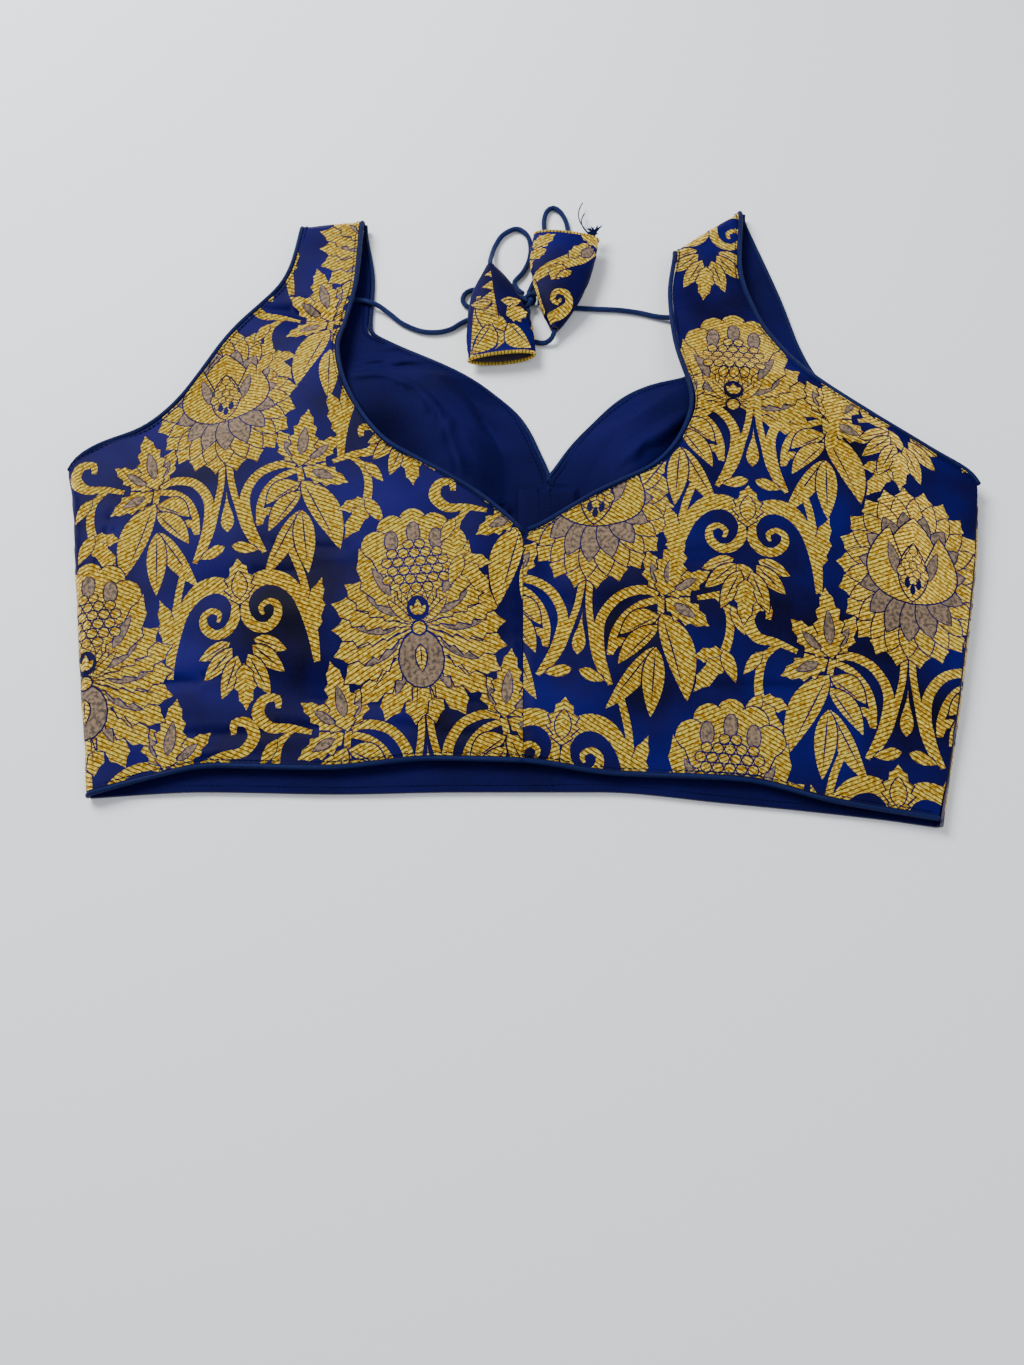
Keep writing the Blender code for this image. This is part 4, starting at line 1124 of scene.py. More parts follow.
@dataclass
class Weave:
    """A brocade cut: the woven motifs, meshed together with the ground between them.

    Args:
        places: Where the motifs stand.
        motifs: The drawings by name.
        step: The distance between the ground's own points.
    """

    places: tuple
    motifs: dict
    step: float = 4.2

    def mesh(self, outline: np.ndarray) -> tuple[np.ndarray, np.ndarray, np.ndarray, np.ndarray]:
        """Triangles of the flat cut, each with its yarn and its place across the hatch.

        Args:
            outline: The cut's edge, anticlockwise.

        Returns:
            The points, the triangles, the yarn of each, and the hatch coordinate of each corner.
        """
        low, high = outline.min(0), outline.max(0)
        shapes = []
        for place in self.places:
            for shape, thread in self.motifs[place.kind].shapes:
                shape = turned(shape, place.x, place.y, place.turn)
                if (shape.max(0) > low).all() and (shape.min(0) < high).all():
                    shapes.append((shape, thread, place))
        points, edges = [], []
        for ring in [outline] + [shape for shape, _, _ in shapes]:
            first = len(points)
            points += [Vector(point) for point in ring.tolist()]
            edges += [(first + i, first + (i + 1) % len(ring)) for i in range(len(ring))]
        xs, ys = np.arange(low[0], high[0], self.step), np.arange(low[1], high[1], self.step)
        points += [Vector((x + (self.step / 2 if j % 2 else 0.0), y)) for j, y in enumerate(ys) for x in xs]
        coords, _, tris, *_ = delaunay_2d_cdt(points, edges, [], 0, 1e-4)
        flat, kept = np.array([(p.x, p.y) for p in coords]), np.array(tris)
        middle = flat[kept].mean(1)
        kept = kept[within(middle, outline)]
        middle = flat[kept].mean(1)
        yarns, origin = np.zeros(len(kept), dtype=int), np.zeros((len(kept), 3))
        for shape, thread, place in shapes:
            near = np.nonzero(((middle >= shape.min(0)) & (middle <= shape.max(0))).all(1))[0]
            covered = near[within(middle[near], shape)]
            yarns[covered] = thread.value
            origin[covered] = (place.x, place.y, math.radians(place.turn))
        rel = flat[kept] - origin[:, None, :2]
        cos, sin = np.cos(origin[:, 2])[:, None], np.sin(origin[:, 2])[:, None]
        across, up = rel[..., 0] * cos + rel[..., 1] * sin, rel[..., 1] * cos - rel[..., 0] * sin
        sign = np.where(across.mean(1, keepdims=True) >= 0.0, 1.0, -1.0)
        hatch = across * sign * HATCH_SLANT[0] + up * HATCH_SLANT[1]
        used, kept = np.unique(kept, return_inverse=True)
        return flat[used], kept.reshape(-1, 3), yarns, hatch


def closed_shell(
    name: str,
    low: np.ndarray,
    high: np.ndarray,
    low_normals: np.ndarray,
    normals: np.ndarray,
    faces: np.ndarray,
    yarns: np.ndarray,
    under: int,
    flat: np.ndarray,
    hatch: np.ndarray | None = None,
) -> bpy.types.Object:
    """A cloth wall between two faces, with a rim along its open edges.

    Args:
        name: The piece's name.
        low: The lower face's points.
        high: The upper face's points.
        low_normals: The lower face's outward normals.
        normals: The upper face's outward normals.
        faces: The faces, anticlockwise seen from above.
        yarns: The material of each upper face.
        under: The material of the lower face and the rim.
        flat: The flat cut's point for each vertex, for the cloth's own coordinates.
        hatch: The hatch coordinate of each upper corner.

    Returns:
        The piece.
    """
    count, size = len(high), faces.shape[1]
    edges = np.concatenate([faces[:, [k, (k + 1) % size]] for k in range(size)])
    pairs = {tuple(edge) for edge in edges.tolist()}
    rim = np.array([edge for edge in edges.tolist() if (edge[1], edge[0]) not in pairs])
    rim_faces = np.stack((rim[:, 1], rim[:, 0], rim[:, 0] + count, rim[:, 1] + count), 1)
    all_faces = faces.tolist() + (faces[:, ::-1] + count).tolist() + rim_faces.tolist()
    points = (np.concatenate((high, low)) - CENTRE) * MM
    mesh = bpy.data.meshes.new(name)
    mesh.from_pydata(points.tolist(), [], all_faces)
    loops = np.concatenate([np.array(face) for face in all_faces])
    upper = len(faces) * size
    both = np.concatenate((flat, flat))
    cloth_uv = mesh.uv_layers.new(name="Cloth")
    cloth_uv.data.foreach_set("uv", (both[loops] * CLOTH_SCALE + 0.5).astype(np.float32).ravel())
    hatch_uv = mesh.uv_layers.new(name="Hatch")
    across = np.zeros((len(loops), 2), dtype=np.float32)
    if hatch is not None:
        across[:upper, 0] = hatch.ravel() * HATCH_SCALE
    hatch_uv.data.foreach_set("uv", across.ravel())
    slots = np.concatenate((yarns, np.full(len(all_faces) - len(faces), under)))
    mesh.polygons.foreach_set("material_index", slots.astype(np.int32))
    mesh.polygons.foreach_set("use_smooth", np.ones(len(all_faces), dtype=bool))
    corner = np.concatenate((normals, low_normals))[loops]
    side = rim_faces.shape[0]
    mesh.update()
    face_normals = np.zeros(len(all_faces) * 3)
    mesh.polygons.foreach_get("normal", face_normals)
    corner[-side * 4 :] = np.repeat(face_normals.reshape(-1, 3)[-side:], 4, 0)
    mesh.normals_split_custom_set(corner.tolist())
    return added(name, mesh)


def leaned(
    normals: np.ndarray, height: Callable, flat: np.ndarray, strength: float = CLOTH_LEAN
) -> np.ndarray:
    """Normals leaned by the slope of a height field over the flat cut.

    Args:
        normals: The normals of the smooth form.
        height: The height field.
        flat: Where to read it.
        strength: How much the creases show in the light.

    Returns:
        The leaned normals.
    """
    probe = 0.4
    x, y = flat[:, 0], flat[:, 1]
    slope_x = (height(x + probe, y) - height(x - probe, y)) / (2 * probe)
    slope_y = (height(x, y + probe) - height(x, y - probe)) / (2 * probe)
    return unit(normals - strength * np.stack((slope_x, slope_y, np.zeros_like(x)), 1))


def tube_mesh(
    name: str, points: np.ndarray, radius: float, sides: int = 10, flatten: float = 1.0
) -> bpy.types.Object:
    """A round tube through points, closed at both ends, with coordinates along and round it.

    Args:
        name: The piece's name.
        points: The middle line.
        radius: The tube's radius.
        sides: The number of faces round it.
        flatten: The share of its height that is left.

    Returns:
        The piece.
    """
    way = unit(np.gradient(points, axis=0))
    aside = unit(np.cross(way, np.array((0.0, 0.0, 1.0))), 1e-6)
    over = np.cross(aside, way)
    turns = np.arange(sides) * 2 * math.pi / sides
    level, upright = np.cos(turns)[None, :, None], np.sin(turns)[None, :, None]
    ring = aside[:, None] * level + over[:, None] * upright * flatten
    rings = points[:, None] + ring * radius
    count = len(points)
    bulge = way * radius * 0.4
    verts = np.concatenate((rings.reshape(-1, 3), points[:1] - bulge[:1], points[-1:] + bulge[-1:]))
    faces, marks = [], []
    run = distances(points)
    for i in range(count - 1):
        for k in range(sides):
            after = (k + 1) % sides
            faces.append((i * sides + k, i * sides + after, (i + 1) * sides + after, (i + 1) * sides + k))
            marks += [(run[i], k), (run[i], k + 1), (run[i + 1], k + 1), (run[i + 1], k)]
    first, last = count * sides, count * sides + 1
    for k in range(sides):
        after = (k + 1) % sides
        faces.append((first, after, k))
        marks += [(run[0], k), (run[0], k + 1), (run[0], k)]
        faces.append((last, (count - 1) * sides + k, (count - 1) * sides + after))
        marks += [(run[-1], k), (run[-1], k), (run[-1], k + 1)]
    mesh = bpy.data.meshes.new(name)
    mesh.from_pydata(((verts - CENTRE) * MM).tolist(), [], faces)
    for layer, scale in (("Cloth", (CLOTH_SCALE, 1.0 / sides)), ("Hatch", (HATCH_SCALE, 0.0))):
        spots = np.array(marks) * np.array(scale)
        mesh.uv_layers.new(name=layer).data.foreach_set("uv", spots.astype(np.float32).ravel())
    mesh.polygons.foreach_set("use_smooth", np.ones(len(faces), dtype=bool))
    mesh.update()
    return added(name, mesh)


class Nodes:
    """A small helper that adds nodes to a tree and links them."""

    def __init__(self, tree: bpy.types.NodeTree) -> None:
        """Keeps the tree that nodes are added to."""
        self.tree = tree

    def add(self, kind: str, inputs: dict | None = None, **settings: object) -> bpy.types.Node:
        """Adds a node.

        Args:
            kind: The node's type.
            inputs: Values or output sockets for its inputs, by name or number.
            settings: The node's own settings.

        Returns:
            The node.
        """
        node = self.tree.nodes.new(kind)
        for name, value in settings.items():
            setattr(node, name, value)
        for key, value in (inputs or {}).items():
            socket = node.inputs[key]
            if isinstance(value, bpy.types.NodeSocket):
                self.tree.links.new(value, socket)
            else:
                socket.default_value = value
        return node

    def math(self, operation: str, first: object, second: object = 0.0) -> bpy.types.NodeSocket:
        """Adds a Math node and gives its output."""
        return self.add("ShaderNodeMath", {0: first, 1: second}, operation=operation).outputs[0]

    def blend(self, share: object, low: tuple, high: tuple) -> bpy.types.NodeSocket:
        """Adds a colour mix and gives its output."""
        node = self.add("ShaderNodeMix", data_type="RGBA")
        for socket, value in ((node.inputs[0], share), (node.inputs[6], low), (node.inputs[7], high)):
            if isinstance(value, bpy.types.NodeSocket):
                self.tree.links.new(value, socket)
            else:
                is_colour = not isinstance(value, float) and len(value) == 3
                socket.default_value = (*value, 1.0) if is_colour else value
        return node.outputs[2]


def weave_group() -> bpy.types.NodeTree:
    """The shader group for woven cloth: a fine thread relief, and slow and fine unevenness."""
    tree = bpy.data.node_groups.new("woven_cloth", "ShaderNodeTree")
    for name, kind in (
        ("Cloth", "NodeSocketVector"), ("Threads", "NodeSocketFloat"), ("Slub", "NodeSocketFloat"),
    ):
        tree.interface.new_socket(name, in_out="INPUT", socket_type=kind)
    for name in ("Height", "Patch", "Fleck"):
        tree.interface.new_socket(name, in_out="OUTPUT", socket_type="NodeSocketFloat")
    nodes = Nodes(tree)
    given, result = nodes.add("NodeGroupInput"), nodes.add("NodeGroupOutput")
    parts = nodes.add("ShaderNodeSeparateXYZ", {0: given.outputs["Cloth"]})
    warp = nodes.math("SINE", nodes.math("MULTIPLY", parts.outputs["X"], given.outputs["Threads"]))
    weft = nodes.math("SINE", nodes.math("MULTIPLY", parts.outputs["Y"], given.outputs["Threads"]))
    fine, slow = (
        nodes.add("ShaderNodeTexNoise", {"Vector": given.outputs["Cloth"], "Scale": scale, "Detail": detail})
        for scale, detail in ((FINE_SCALE, 2.0), (SLOW_SCALE, 3.0))
    )
    lumps = nodes.math("MULTIPLY", fine.outputs[0], given.outputs["Slub"])
    relief = nodes.math("ADD", nodes.math("MULTIPLY", warp, weft), lumps)
    for name, socket in (("Height", relief), ("Patch", slow.outputs[0]), ("Fleck", fine.outputs[0])):
        tree.links.new(socket, result.inputs[name])
    return tree


@dataclass(frozen=True)
class Finish:
    """A cloth's finish.

    Args:
        name: The material's name.
        dark: The colour in its darker places.
        light: The colour in its lighter places.
        roughness: The mean roughness.
        metallic: How metallic the yarn is.
        sheen: The weight of its sheen.
        threads: How close the threads lie, in radians of their wave for each cloth coordinate.
        relief: The height of the thread relief, in metres.
        hatch: The share that the binding lines darken, or 0 for none.
        bind: The colour of the binding lines.
        twist: How fast a cord's seam winds round it, in radians for each cloth coordinate, or 0 for none.
        fleck: The share of the unevenness that is fine; the gold's light flecks are partly painted glints.
        gloss: The weight of its mirror light.
        even: How wide a part of the unevenness runs from dark to light; less is starker.
    """

    name: str
    dark: tuple
    light: tuple
    roughness: float
    metallic: float = 0.0
    sheen: float = 0.0
    threads: float = 5200.0
    relief: float = 0.00004
    hatch: float = 0.0
    bind: tuple = (0.06, 0.03, 0.01)
    twist: float = 0.0
    fleck: float = 0.25
    gloss: float = 0.5
    even: float = 0.15

    def build(self, weave: bpy.types.NodeTree) -> bpy.types.Material:
        """Makes the material.

        Args:
            weave: The woven cloth group.

        Returns:
            The material.
        """
        made = bpy.data.materials.new(self.name)
        made.use_nodes = True
        nodes = Nodes(made.node_tree)
        shader = made.node_tree.nodes["Principled BSDF"]
        shader.inputs["Metallic"].default_value = self.metallic
        shader.inputs["Sheen Weight"].default_value = self.sheen
        shader.inputs["Specular IOR Level"].default_value = self.gloss
        cloth = nodes.add("ShaderNodeUVMap", uv_map="Cloth").outputs[0]
        group = nodes.add("ShaderNodeGroup")
        group.node_tree = weave
        group.inputs["Threads"].default_value = self.threads
        group.inputs["Slub"].default_value = SLUB
        made.node_tree.links.new(cloth, group.inputs["Cloth"])
        slow = nodes.math("MULTIPLY", group.outputs["Patch"], 1.0 - self.fleck)
        fast = nodes.math("MULTIPLY", group.outputs["Fleck"], self.fleck)
        limits = {"From Min": NOISE_MEAN - self.even, "From Max": NOISE_MEAN + self.even}
        spread = nodes.add("ShaderNodeMapRange", {"Value": nodes.math("ADD", slow, fast), **limits})
        colour = nodes.blend(spread.outputs[0], self.dark, self.light)
        height = group.outputs["Height"]
        if self.hatch:
            hatch = nodes.add("ShaderNodeUVMap", uv_map="Hatch").outputs[0]
            lines = nodes.add("ShaderNodeSeparateXYZ", {0: hatch})
            wobble = nodes.math("MULTIPLY", group.outputs["Fleck"], HATCH_WOBBLE)
            turn = nodes.math("MULTIPLY", lines.outputs["X"], HATCH_TURN)
            wave = nodes.math("SINE", nodes.math("ADD", turn, wobble))
            limits = {"From Min": HATCH_RANGE[0], "From Max": HATCH_RANGE[1]}
            line = nodes.add("ShaderNodeMapRange", {"Value": wave, **limits})
            colour = nodes.blend(nodes.math("MULTIPLY", line.outputs[0], self.hatch), colour, self.bind)
            height = nodes.math("SUBTRACT", height, nodes.math("MULTIPLY", line.outputs[0], HATCH_DEPTH))
        if self.twist:
            parts = nodes.add("ShaderNodeSeparateXYZ", {0: cloth})
            along = nodes.math("MULTIPLY", parts.outputs["X"], self.twist)
            around = nodes.math("MULTIPLY", parts.outputs["Y"], 2 * math.pi)
            spiral = nodes.math("ADD", along, around)
            seam = nodes.math("MULTIPLY", nodes.math("SINE", spiral), TWIST_DEPTH)
            height = nodes.math("ADD", height, seam)
        limits = {"To Min": self.roughness - 0.06, "To Max": self.roughness + 0.08}
        rough = nodes.add("ShaderNodeMapRange", {"Value": group.outputs["Fleck"], **limits})
        given = {"Height": height, "Distance": self.relief, "Strength": BUMP_STRENGTH}
        bump = nodes.add("ShaderNodeBump", given)
        made.node_tree.links.new(colour, shader.inputs["Base Color"])
        made.node_tree.links.new(rough.outputs[0], shader.inputs["Roughness"])
        made.node_tree.links.new(bump.outputs[0], shader.inputs["Normal"])
        return made


SATIN = Finish(
    "navy_satin_ground", (0.0006, 0.0002, 0.009), (0.0034, 0.0010, 0.082), 0.46, threads=4200.0, gloss=0.05,
    fleck=0.12,
)
# Gold flecks: partly the yarn's uneven tone, partly painted glints; the light colour stands in for highlights
GOLD = Finish(
    "gold_weft", (0.52, 0.25, 0.005), (1.0, 0.775, 0.125), 0.36, 0.70, threads=6200.0, relief=0.00016,
    hatch=0.96, bind=(0.045, 0.020, 0.002), fleck=0.86, gloss=0.2, even=0.07,
)
MAUVE = Finish(
    "mauve_weft", (0.045, 0.028, 0.019), (0.225, 0.145, 0.080), 0.55, 0.1, threads=9000.0, relief=0.00006,
    fleck=0.9, even=0.1,
)
REVERSE = Finish("brocade_reverse", (0.010, 0.010, 0.060), (0.05, 0.035, 0.06), 0.7, sheen=0.1)
LINING = Finish(
    "navy_lining", (0.0016, 0.0015, 0.023), (0.0034, 0.0029, 0.054), 0.66, threads=7800.0, gloss=0.04,
)
BIAS = Finish(
    "navy_bias", (0.0020, 0.0042, 0.036), (0.0044, 0.0095, 0.074), 0.52, gloss=0.10, threads=9000.0,
    twist=900.0,
)
CORD = Finish(
    "navy_cord", (0.0030, 0.0085, 0.058), (0.0065, 0.0180, 0.110), 0.50, gloss=0.16, threads=9000.0,
    twist=420.0, relief=0.00008,
)
THREAD = Finish("navy_thread", (0.0008, 0.0014, 0.016), (0.0030, 0.0060, 0.050), 0.7, gloss=0.04)


def stitch_tree() -> bpy.types.NodeTree:
    """The geometry tree that sets running stitches along a line."""
    tree = bpy.data.node_groups.new("running_stitch", "GeometryNodeTree")
    for name, kind in (
        ("Line", "NodeSocketGeometry"), ("Pitch", "NodeSocketFloat"), ("Stitch Length", "NodeSocketFloat"),
        ("Thread", "NodeSocketFloat"), ("Yarn", "NodeSocketMaterial"),
    ):
        tree.interface.new_socket(name, in_out="INPUT", socket_type=kind)
    tree.interface.new_socket("Stitches", in_out="OUTPUT", socket_type="NodeSocketGeometry")
    nodes = Nodes(tree)
    given, result = nodes.add("NodeGroupInput"), nodes.add("NodeGroupOutput")
    line = {"Curve": given.outputs["Line"], "Length": given.outputs["Pitch"]}
    dots = nodes.add("GeometryNodeCurveToPoints", line, mode="LENGTH")
    stitch = {"Depth": given.outputs["Stitch Length"], "Radius": given.outputs["Thread"]}
    rod = nodes.add("GeometryNodeMeshCylinder", {"Vertices": 6, "Side Segments": 2, **stitch})
    placed = nodes.add("GeometryNodeInstanceOnPoints", {
        "Points": dots.outputs["Points"], "Instance": rod.outputs["Mesh"],
        "Rotation": dots.outputs["Rotation"],
    })
    real = nodes.add("GeometryNodeRealizeInstances", {"Geometry": placed.outputs["Instances"]})
    smooth = nodes.add("GeometryNodeSetShadeSmooth", {"Geometry": real.outputs["Geometry"]})
    thread = {"Geometry": smooth.outputs["Geometry"], "Material": given.outputs["Yarn"]}
    painted = nodes.add("GeometryNodeSetMaterial", thread)
    tree.links.new(painted.outputs["Geometry"], result.inputs["Stitches"])
    return tree


@dataclass
class Sewing:
    """The rows of stitches, each a line that the stitch tree runs along.

    Args:
        tree: The stitch tree.
        yarn: The thread's material.
        pitch: The distance from one stitch to the next.
        length: The length of a stitch.
        thread: The thread's radius.
    """

    tree: bpy.types.NodeTree
    yarn: bpy.types.Material
    pitch: float = 2.6
    length: float = 1.9
    thread: float = 0.26

    def row(self, name: str, points: np.ndarray) -> None:
        """Sews one row of stitches.

        Args:
            name: The row's name.
            points: The line, in drawing millimetres.
        """
        curve = bpy.data.curves.new(name, "CURVE")
        curve.dimensions = "3D"
        spline = curve.splines.new("POLY")
        spline.points.add(len(points) - 1)
        weighted = np.concatenate(((points - CENTRE) * MM, np.ones((len(points), 1))), 1)
        spline.points.foreach_set("co", weighted.ravel())
        line = added(name + "_line", curve)
        stitcher = line.modifiers.new("stitches", "NODES")
        stitcher.node_group = self.tree
        values = {
            "Pitch": self.pitch * MM, "Stitch Length": self.length * MM,
            "Thread": self.thread * MM, "Yarn": self.yarn,
        }
        for item in self.tree.interface.items_tree:
            if item.name in values:
                stitcher[item.identifier] = values[item.name]
        line.update_tag()
        bpy.context.view_layer.update()
        graph = bpy.context.evaluated_depsgraph_get()
        mesh = bpy.data.meshes.new_from_object(line.evaluated_get(graph))
        line.modifiers.remove(stitcher)
        bpy.data.objects.remove(line)
        spots = np.zeros(len(mesh.vertices) * 3)
        mesh.vertices.foreach_get("co", spots)
        corners = np.zeros(len(mesh.loops), dtype=np.int32)
        mesh.loops.foreach_get("vertex_index", corners)
        cloth = mesh.uv_layers.new(name="Cloth")
        places = spots.reshape(-1, 3)[corners, :2] * (CLOTH_SCALE / MM)
        cloth.data.foreach_set("uv", places.astype(np.float32).ravel())
        made = added(name, mesh)
        if not mesh.materials:
            mesh.materials.append(self.yarn)
        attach(made, "root")
        LOG.info("%s: %d faces", name, len(mesh.polygons))


def dress(piece: bpy.types.Object, node: str, slot: str, *finishes: bpy.types.Material) -> bpy.types.Object:
    """Gives a piece its materials and its body, and lets it stand for a CAD node.

    Args:
        piece: The piece.
        node: The CAD node that it stands for, or nothing.
        slot: The record's material slot; not used.
        finishes: Its materials, in order.

    Returns:
        The piece.
    """
    for finish in finishes:
        piece.data.materials.append(finish)
    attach(piece, "root")
    if node:
        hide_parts(node)
    LOG.info("%s: %d faces", piece.name, len(piece.data.polygons))
    return piece


@dataclass
class Blouse:
    """The four brocade panels, the lining, the placket, and all that edges them.

    Args:
        finishes: The materials by name.
        motifs: The drawings by name.
        sewing: What sews the rows of stitches.
        panels: The form of each half of the back and front.
    """

    finishes: dict
    motifs: dict
    sewing: Sewing
    panels: dict = field(default_factory=dict)

    def build(self) -> None:
        """Builds and dresses every cloth piece of the body."""
        for side in Side:
            for part in ("back", "front"):
                self.panels[part, side] = Panel(part, side)
            self.brocade("back", side, BACK_PLACES[side], BACK_CREASES)
            self.brocade("front", side, FRONT_PLACES[side], ())
            self.lining(side)
            for part in ("back", "front"):
                self.piping(part, side)
        self.placket()
        for side in Side:
            self.sew(side)

    def sew(self, side: Side) -> None:
        """Sews the rows of stitches of one half.

        Args:
            side: The half.
        """
        back, front = self.panels["back", side], self.panels["front", side]
        inner, outer = (-1, 0) if side is Side.LEFT else (0, -1)

        def beside(panel: Panel, column: int, first: int, inward: float, lift: float) -> np.ndarray:
            """A line that runs inside a long edge of a panel."""
            points = panel.grid[first:, column]
            step = unit(panel.grid[first:, column + (1 if column == 0 else -1)] - points)
            return points + step * inward + panel.normals[first:, column] * lift

        neck, arm = back.row_at.index(NECK_ROW["back", side]), back.row_at.index(ARM_PIPING_ROW["back", side])
        front_neck = front.row_at.index(NECK_ROW["front", side]) + 1
        for name, panel, column, first, inward, depth in (
            ("back_neck", back, inner, neck, 1.3, WALL),
            ("back_arm", back, outer, arm, 1.3, WALL),
            ("front_neck", front, inner, front_neck, 2.4, LINING_TOP),
        ):
            line = beside(panel, column, first, inward, depth + STITCH_LIFT)
            self.sewing.row(f"stitches_{name}_{side.value}", line)
        rolled = slice(ROLLED_COLUMNS, None) if side is Side.LEFT else slice(None, -ROLLED_COLUMNS)
        for name, panel, share, lift in (("back", back, 0.35, WALL), ("front", front, 0.72, LINING_TOP)):
            line = mixed(panel.grid[0], panel.grid[1], share) + panel.normals[0] * (lift + STITCH_LIFT)
            self.sewing.row(f"stitches_{name}_hem_{side.value}", line[rolled])

    def declare(self, piece: bpy.types.Object, outline: np.ndarray, rests_on: list[str]) -> None:
        """Takes a laid sheet and its flat cut, and does nothing with them."""

    def brocade(self, part: str, side: Side, places: tuple, creases: tuple) -> None:
        """Builds a brocade panel.

        Args:
            part: "back" or "front".
            side: The half.
            places: Where its woven flowers stand.
            creases: Its small creases.
        """
        panel = self.panels[part, side]
        outline = grid_outline(panel.flat)
        flat, tris, yarns, hatch = Weave(places, self.motifs).mesh(outline)
        base, normals = lie_on(panel.flat, panel.grid, panel.normals, flat)

        def height(x: np.ndarray, y: np.ndarray) -> np.ndarray:
            """The creases and ripples on the solid's own form."""
            return fold_height(creases, x, y) + ripple(x, y)

        if part == "back":
            rise = height(flat[:, 0], flat[:, 1])[:, None]
            high = base + normals * (WALL + rise)
            low = base + normals * (BACK_SHORT + rise)
            lean = leaned(normals, height, flat)
            piece = closed_shell(
                f"back_{side.value}_brocade", low, high, -lean, lean, tris, yarns, 3, flat, hatch
            )
        else:
            piece = closed_shell(
                f"front_{side.value}_brocade", base + normals * WALL, base, normals, -normals, tris[:, ::-1],
                yarns, 3, flat, hatch[:, ::-1],
            )
        dress(piece, f"{part}_{side.value}", "brocade", *(self.finishes[name] for name in BROCADE_YARNS))
        self.declare(piece, outline, [f"front_{side.value}_brocade"] if part == "back" else [])

    def lining(self, side: Side) -> None:
        """Builds the lining of a front half."""
        panel = self.panels["front", side]
        quads = grid_quads(*panel.flat.shape[:2])
        flat, base = panel.flat.reshape(-1, 2), panel.grid.reshape(-1, 3)
        normals = panel.normals.reshape(-1, 3)

        def height(x: np.ndarray, y: np.ndarray) -> np.ndarray:
            """The lining's soft wrinkles."""
            return fold_height(LINING_CREASES, x, y) + 0.7 * ripple(x, y)

        rise = height(flat[:, 0], flat[:, 1])[:, None]
        low = base + normals * (LINING_LIFT + LINING_SHORT)
        high = base + normals * (LINING_TOP + np.maximum(rise, LINING_DEEPEST))
        lean = leaned(normals, height, flat, LINING_LEAN)
        yarns = np.zeros(len(quads), dtype=int)
        piece = closed_shell(f"lining_{side.value}_cloth", low, high, -normals, lean, quads, yarns, 0, flat)
        dress(piece, f"lining_{side.value}", "navy_lining", self.finishes["lining"])
        self.declare(piece, grid_outline(panel.flat), [f"front_{side.value}_brocade"])

    def piping(self, part: str, side: Side) -> None:
        """Builds the rolled bias edges of a panel."""
        panel = self.panels[part, side]
        depth = WALL if part == "back" else LINING_TOP
        inner = -1 if side is Side.LEFT else 0
        outer = 0 if side is Side.LEFT else -1
        neck_first = panel.row_at.index(NECK_ROW[part, side])
        arm_first = panel.row_at.index(ARM_PIPING_ROW[part, side])
        runs = [("neck", inner, neck_first, NECK_TRIM[part, side]), ("arm", outer, arm_first, 0.0)]
        for edge, column, first, trim in runs:
            points = panel.grid[first:, column]
            second = panel.grid[first:, column + (1 if column == 0 else -1)]
            node = f"piping_{part}_{edge}_{side.value}"
            self.edge_tube(node, points, points - second, panel.normals[first:, column], depth, trim)
        if part == "back":
            points, second = panel.grid[0], panel.grid[1]
            node = f"piping_back_hem_{side.value}"
            self.edge_tube(node, points, points - second, panel.normals[0], depth, 0.0)

    def edge_tube(
        self, node: str, points: np.ndarray, out: np.ndarray, up: np.ndarray, depth: float, trim: float
    ) -> None:
        """Builds one piping just outside a cloth edge.

        Args:
            node: The CAD node that it stands for.
            points: The cloth's edge.
            out: The way out of the cloth at each point.
            up: The cloth's normals there.
            depth: The depth of the cloth that it edges.
            trim: How far past its corner it starts.
        """
        run = unit(np.gradient(points, axis=0))
        out = unit(out - run * (out * run).sum(1, keepdims=True))
        centres = points + out * (SEAM / 2 + PIPING_RADIUS) + up * depth / 2
        centres[:, 2] = np.maximum(centres[:, 2], PIPING_RADIUS)
        centres = centres[distances(centres) >= trim]
        for _ in range(3):
            inside = centres[:-2] * 0.25 + centres[1:-1] * 0.5 + centres[2:] * 0.25
            centres = np.concatenate((centres[:1], inside, centres[-1:]))
        piece = tube_mesh(node + "_roll", centres, PIPING_RADIUS)
        dress(piece, node, "navy_bias", self.finishes["bias"])

    def placket(self) -> None:
        """Builds the hook placket over the centre front."""
        width, length, top, across, along = 31.0, 142.0, NOTCH_Y - 3.0, 40, 120
        panel = self.panels["front", Side.LEFT]
        xs = np.linspace(FRONT_SEAM_X - width / 2, FRONT_SEAM_X + width / 2, across + 1)
        ys = np.linspace(top - length, top, along + 1)
        flat = np.array([(x, y) for y in ys for x in xs])
        base = np.array([(x, y, panel.front_height(x, y) + LINING_TOP + SEAM) for x, y in flat])
        quads = grid_quads(along + 1, across + 1)
        up = np.tile(np.array((0.0, 0.0, 1.0)), (len(flat), 1))

        def height(x: np.ndarray, y: np.ndarray) -> np.ndarray:
            """The placket's wrinkles, and the roll of its turned edges."""
            inside = np.minimum(np.minimum(x - xs[0], xs[-1] - x), top - y)
            return 0.25 * ripple(x * 2.0, y * 2.0) - 0.7 * np.exp(-((inside / 1.5) ** 2))

        rise = height(flat[:, 0], flat[:, 1])[:, None]
        yarns = np.zeros(len(quads), dtype=int)
        lean = leaned(up, height, flat)
        high = base + up * (WALL + rise)
        piece = closed_shell("placket_cloth", base, high, -up, lean, quads, yarns, 0, flat)
        dress(piece, "placket", "navy_lining", self.finishes["lining"])
        ys_sewn = np.linspace(top - length + 2, top - 1, 60)
        above = LINING_TOP + SEAM + WALL + STITCH_LIFT
        for row, x in enumerate((6.6, 12.8)):
            line = np.array([(x, y, panel.front_height(x, y) + above) for y in ys_sewn])
            self.sewing.row(f"stitches_placket_{row}", line)
        corners = np.array(((xs[0], ys[0]), (xs[-1], ys[0]), (xs[-1], ys[-1]), (xs[0], ys[-1])))
        self.declare(piece, corners, ["lining_left_cloth", "lining_right_cloth"])


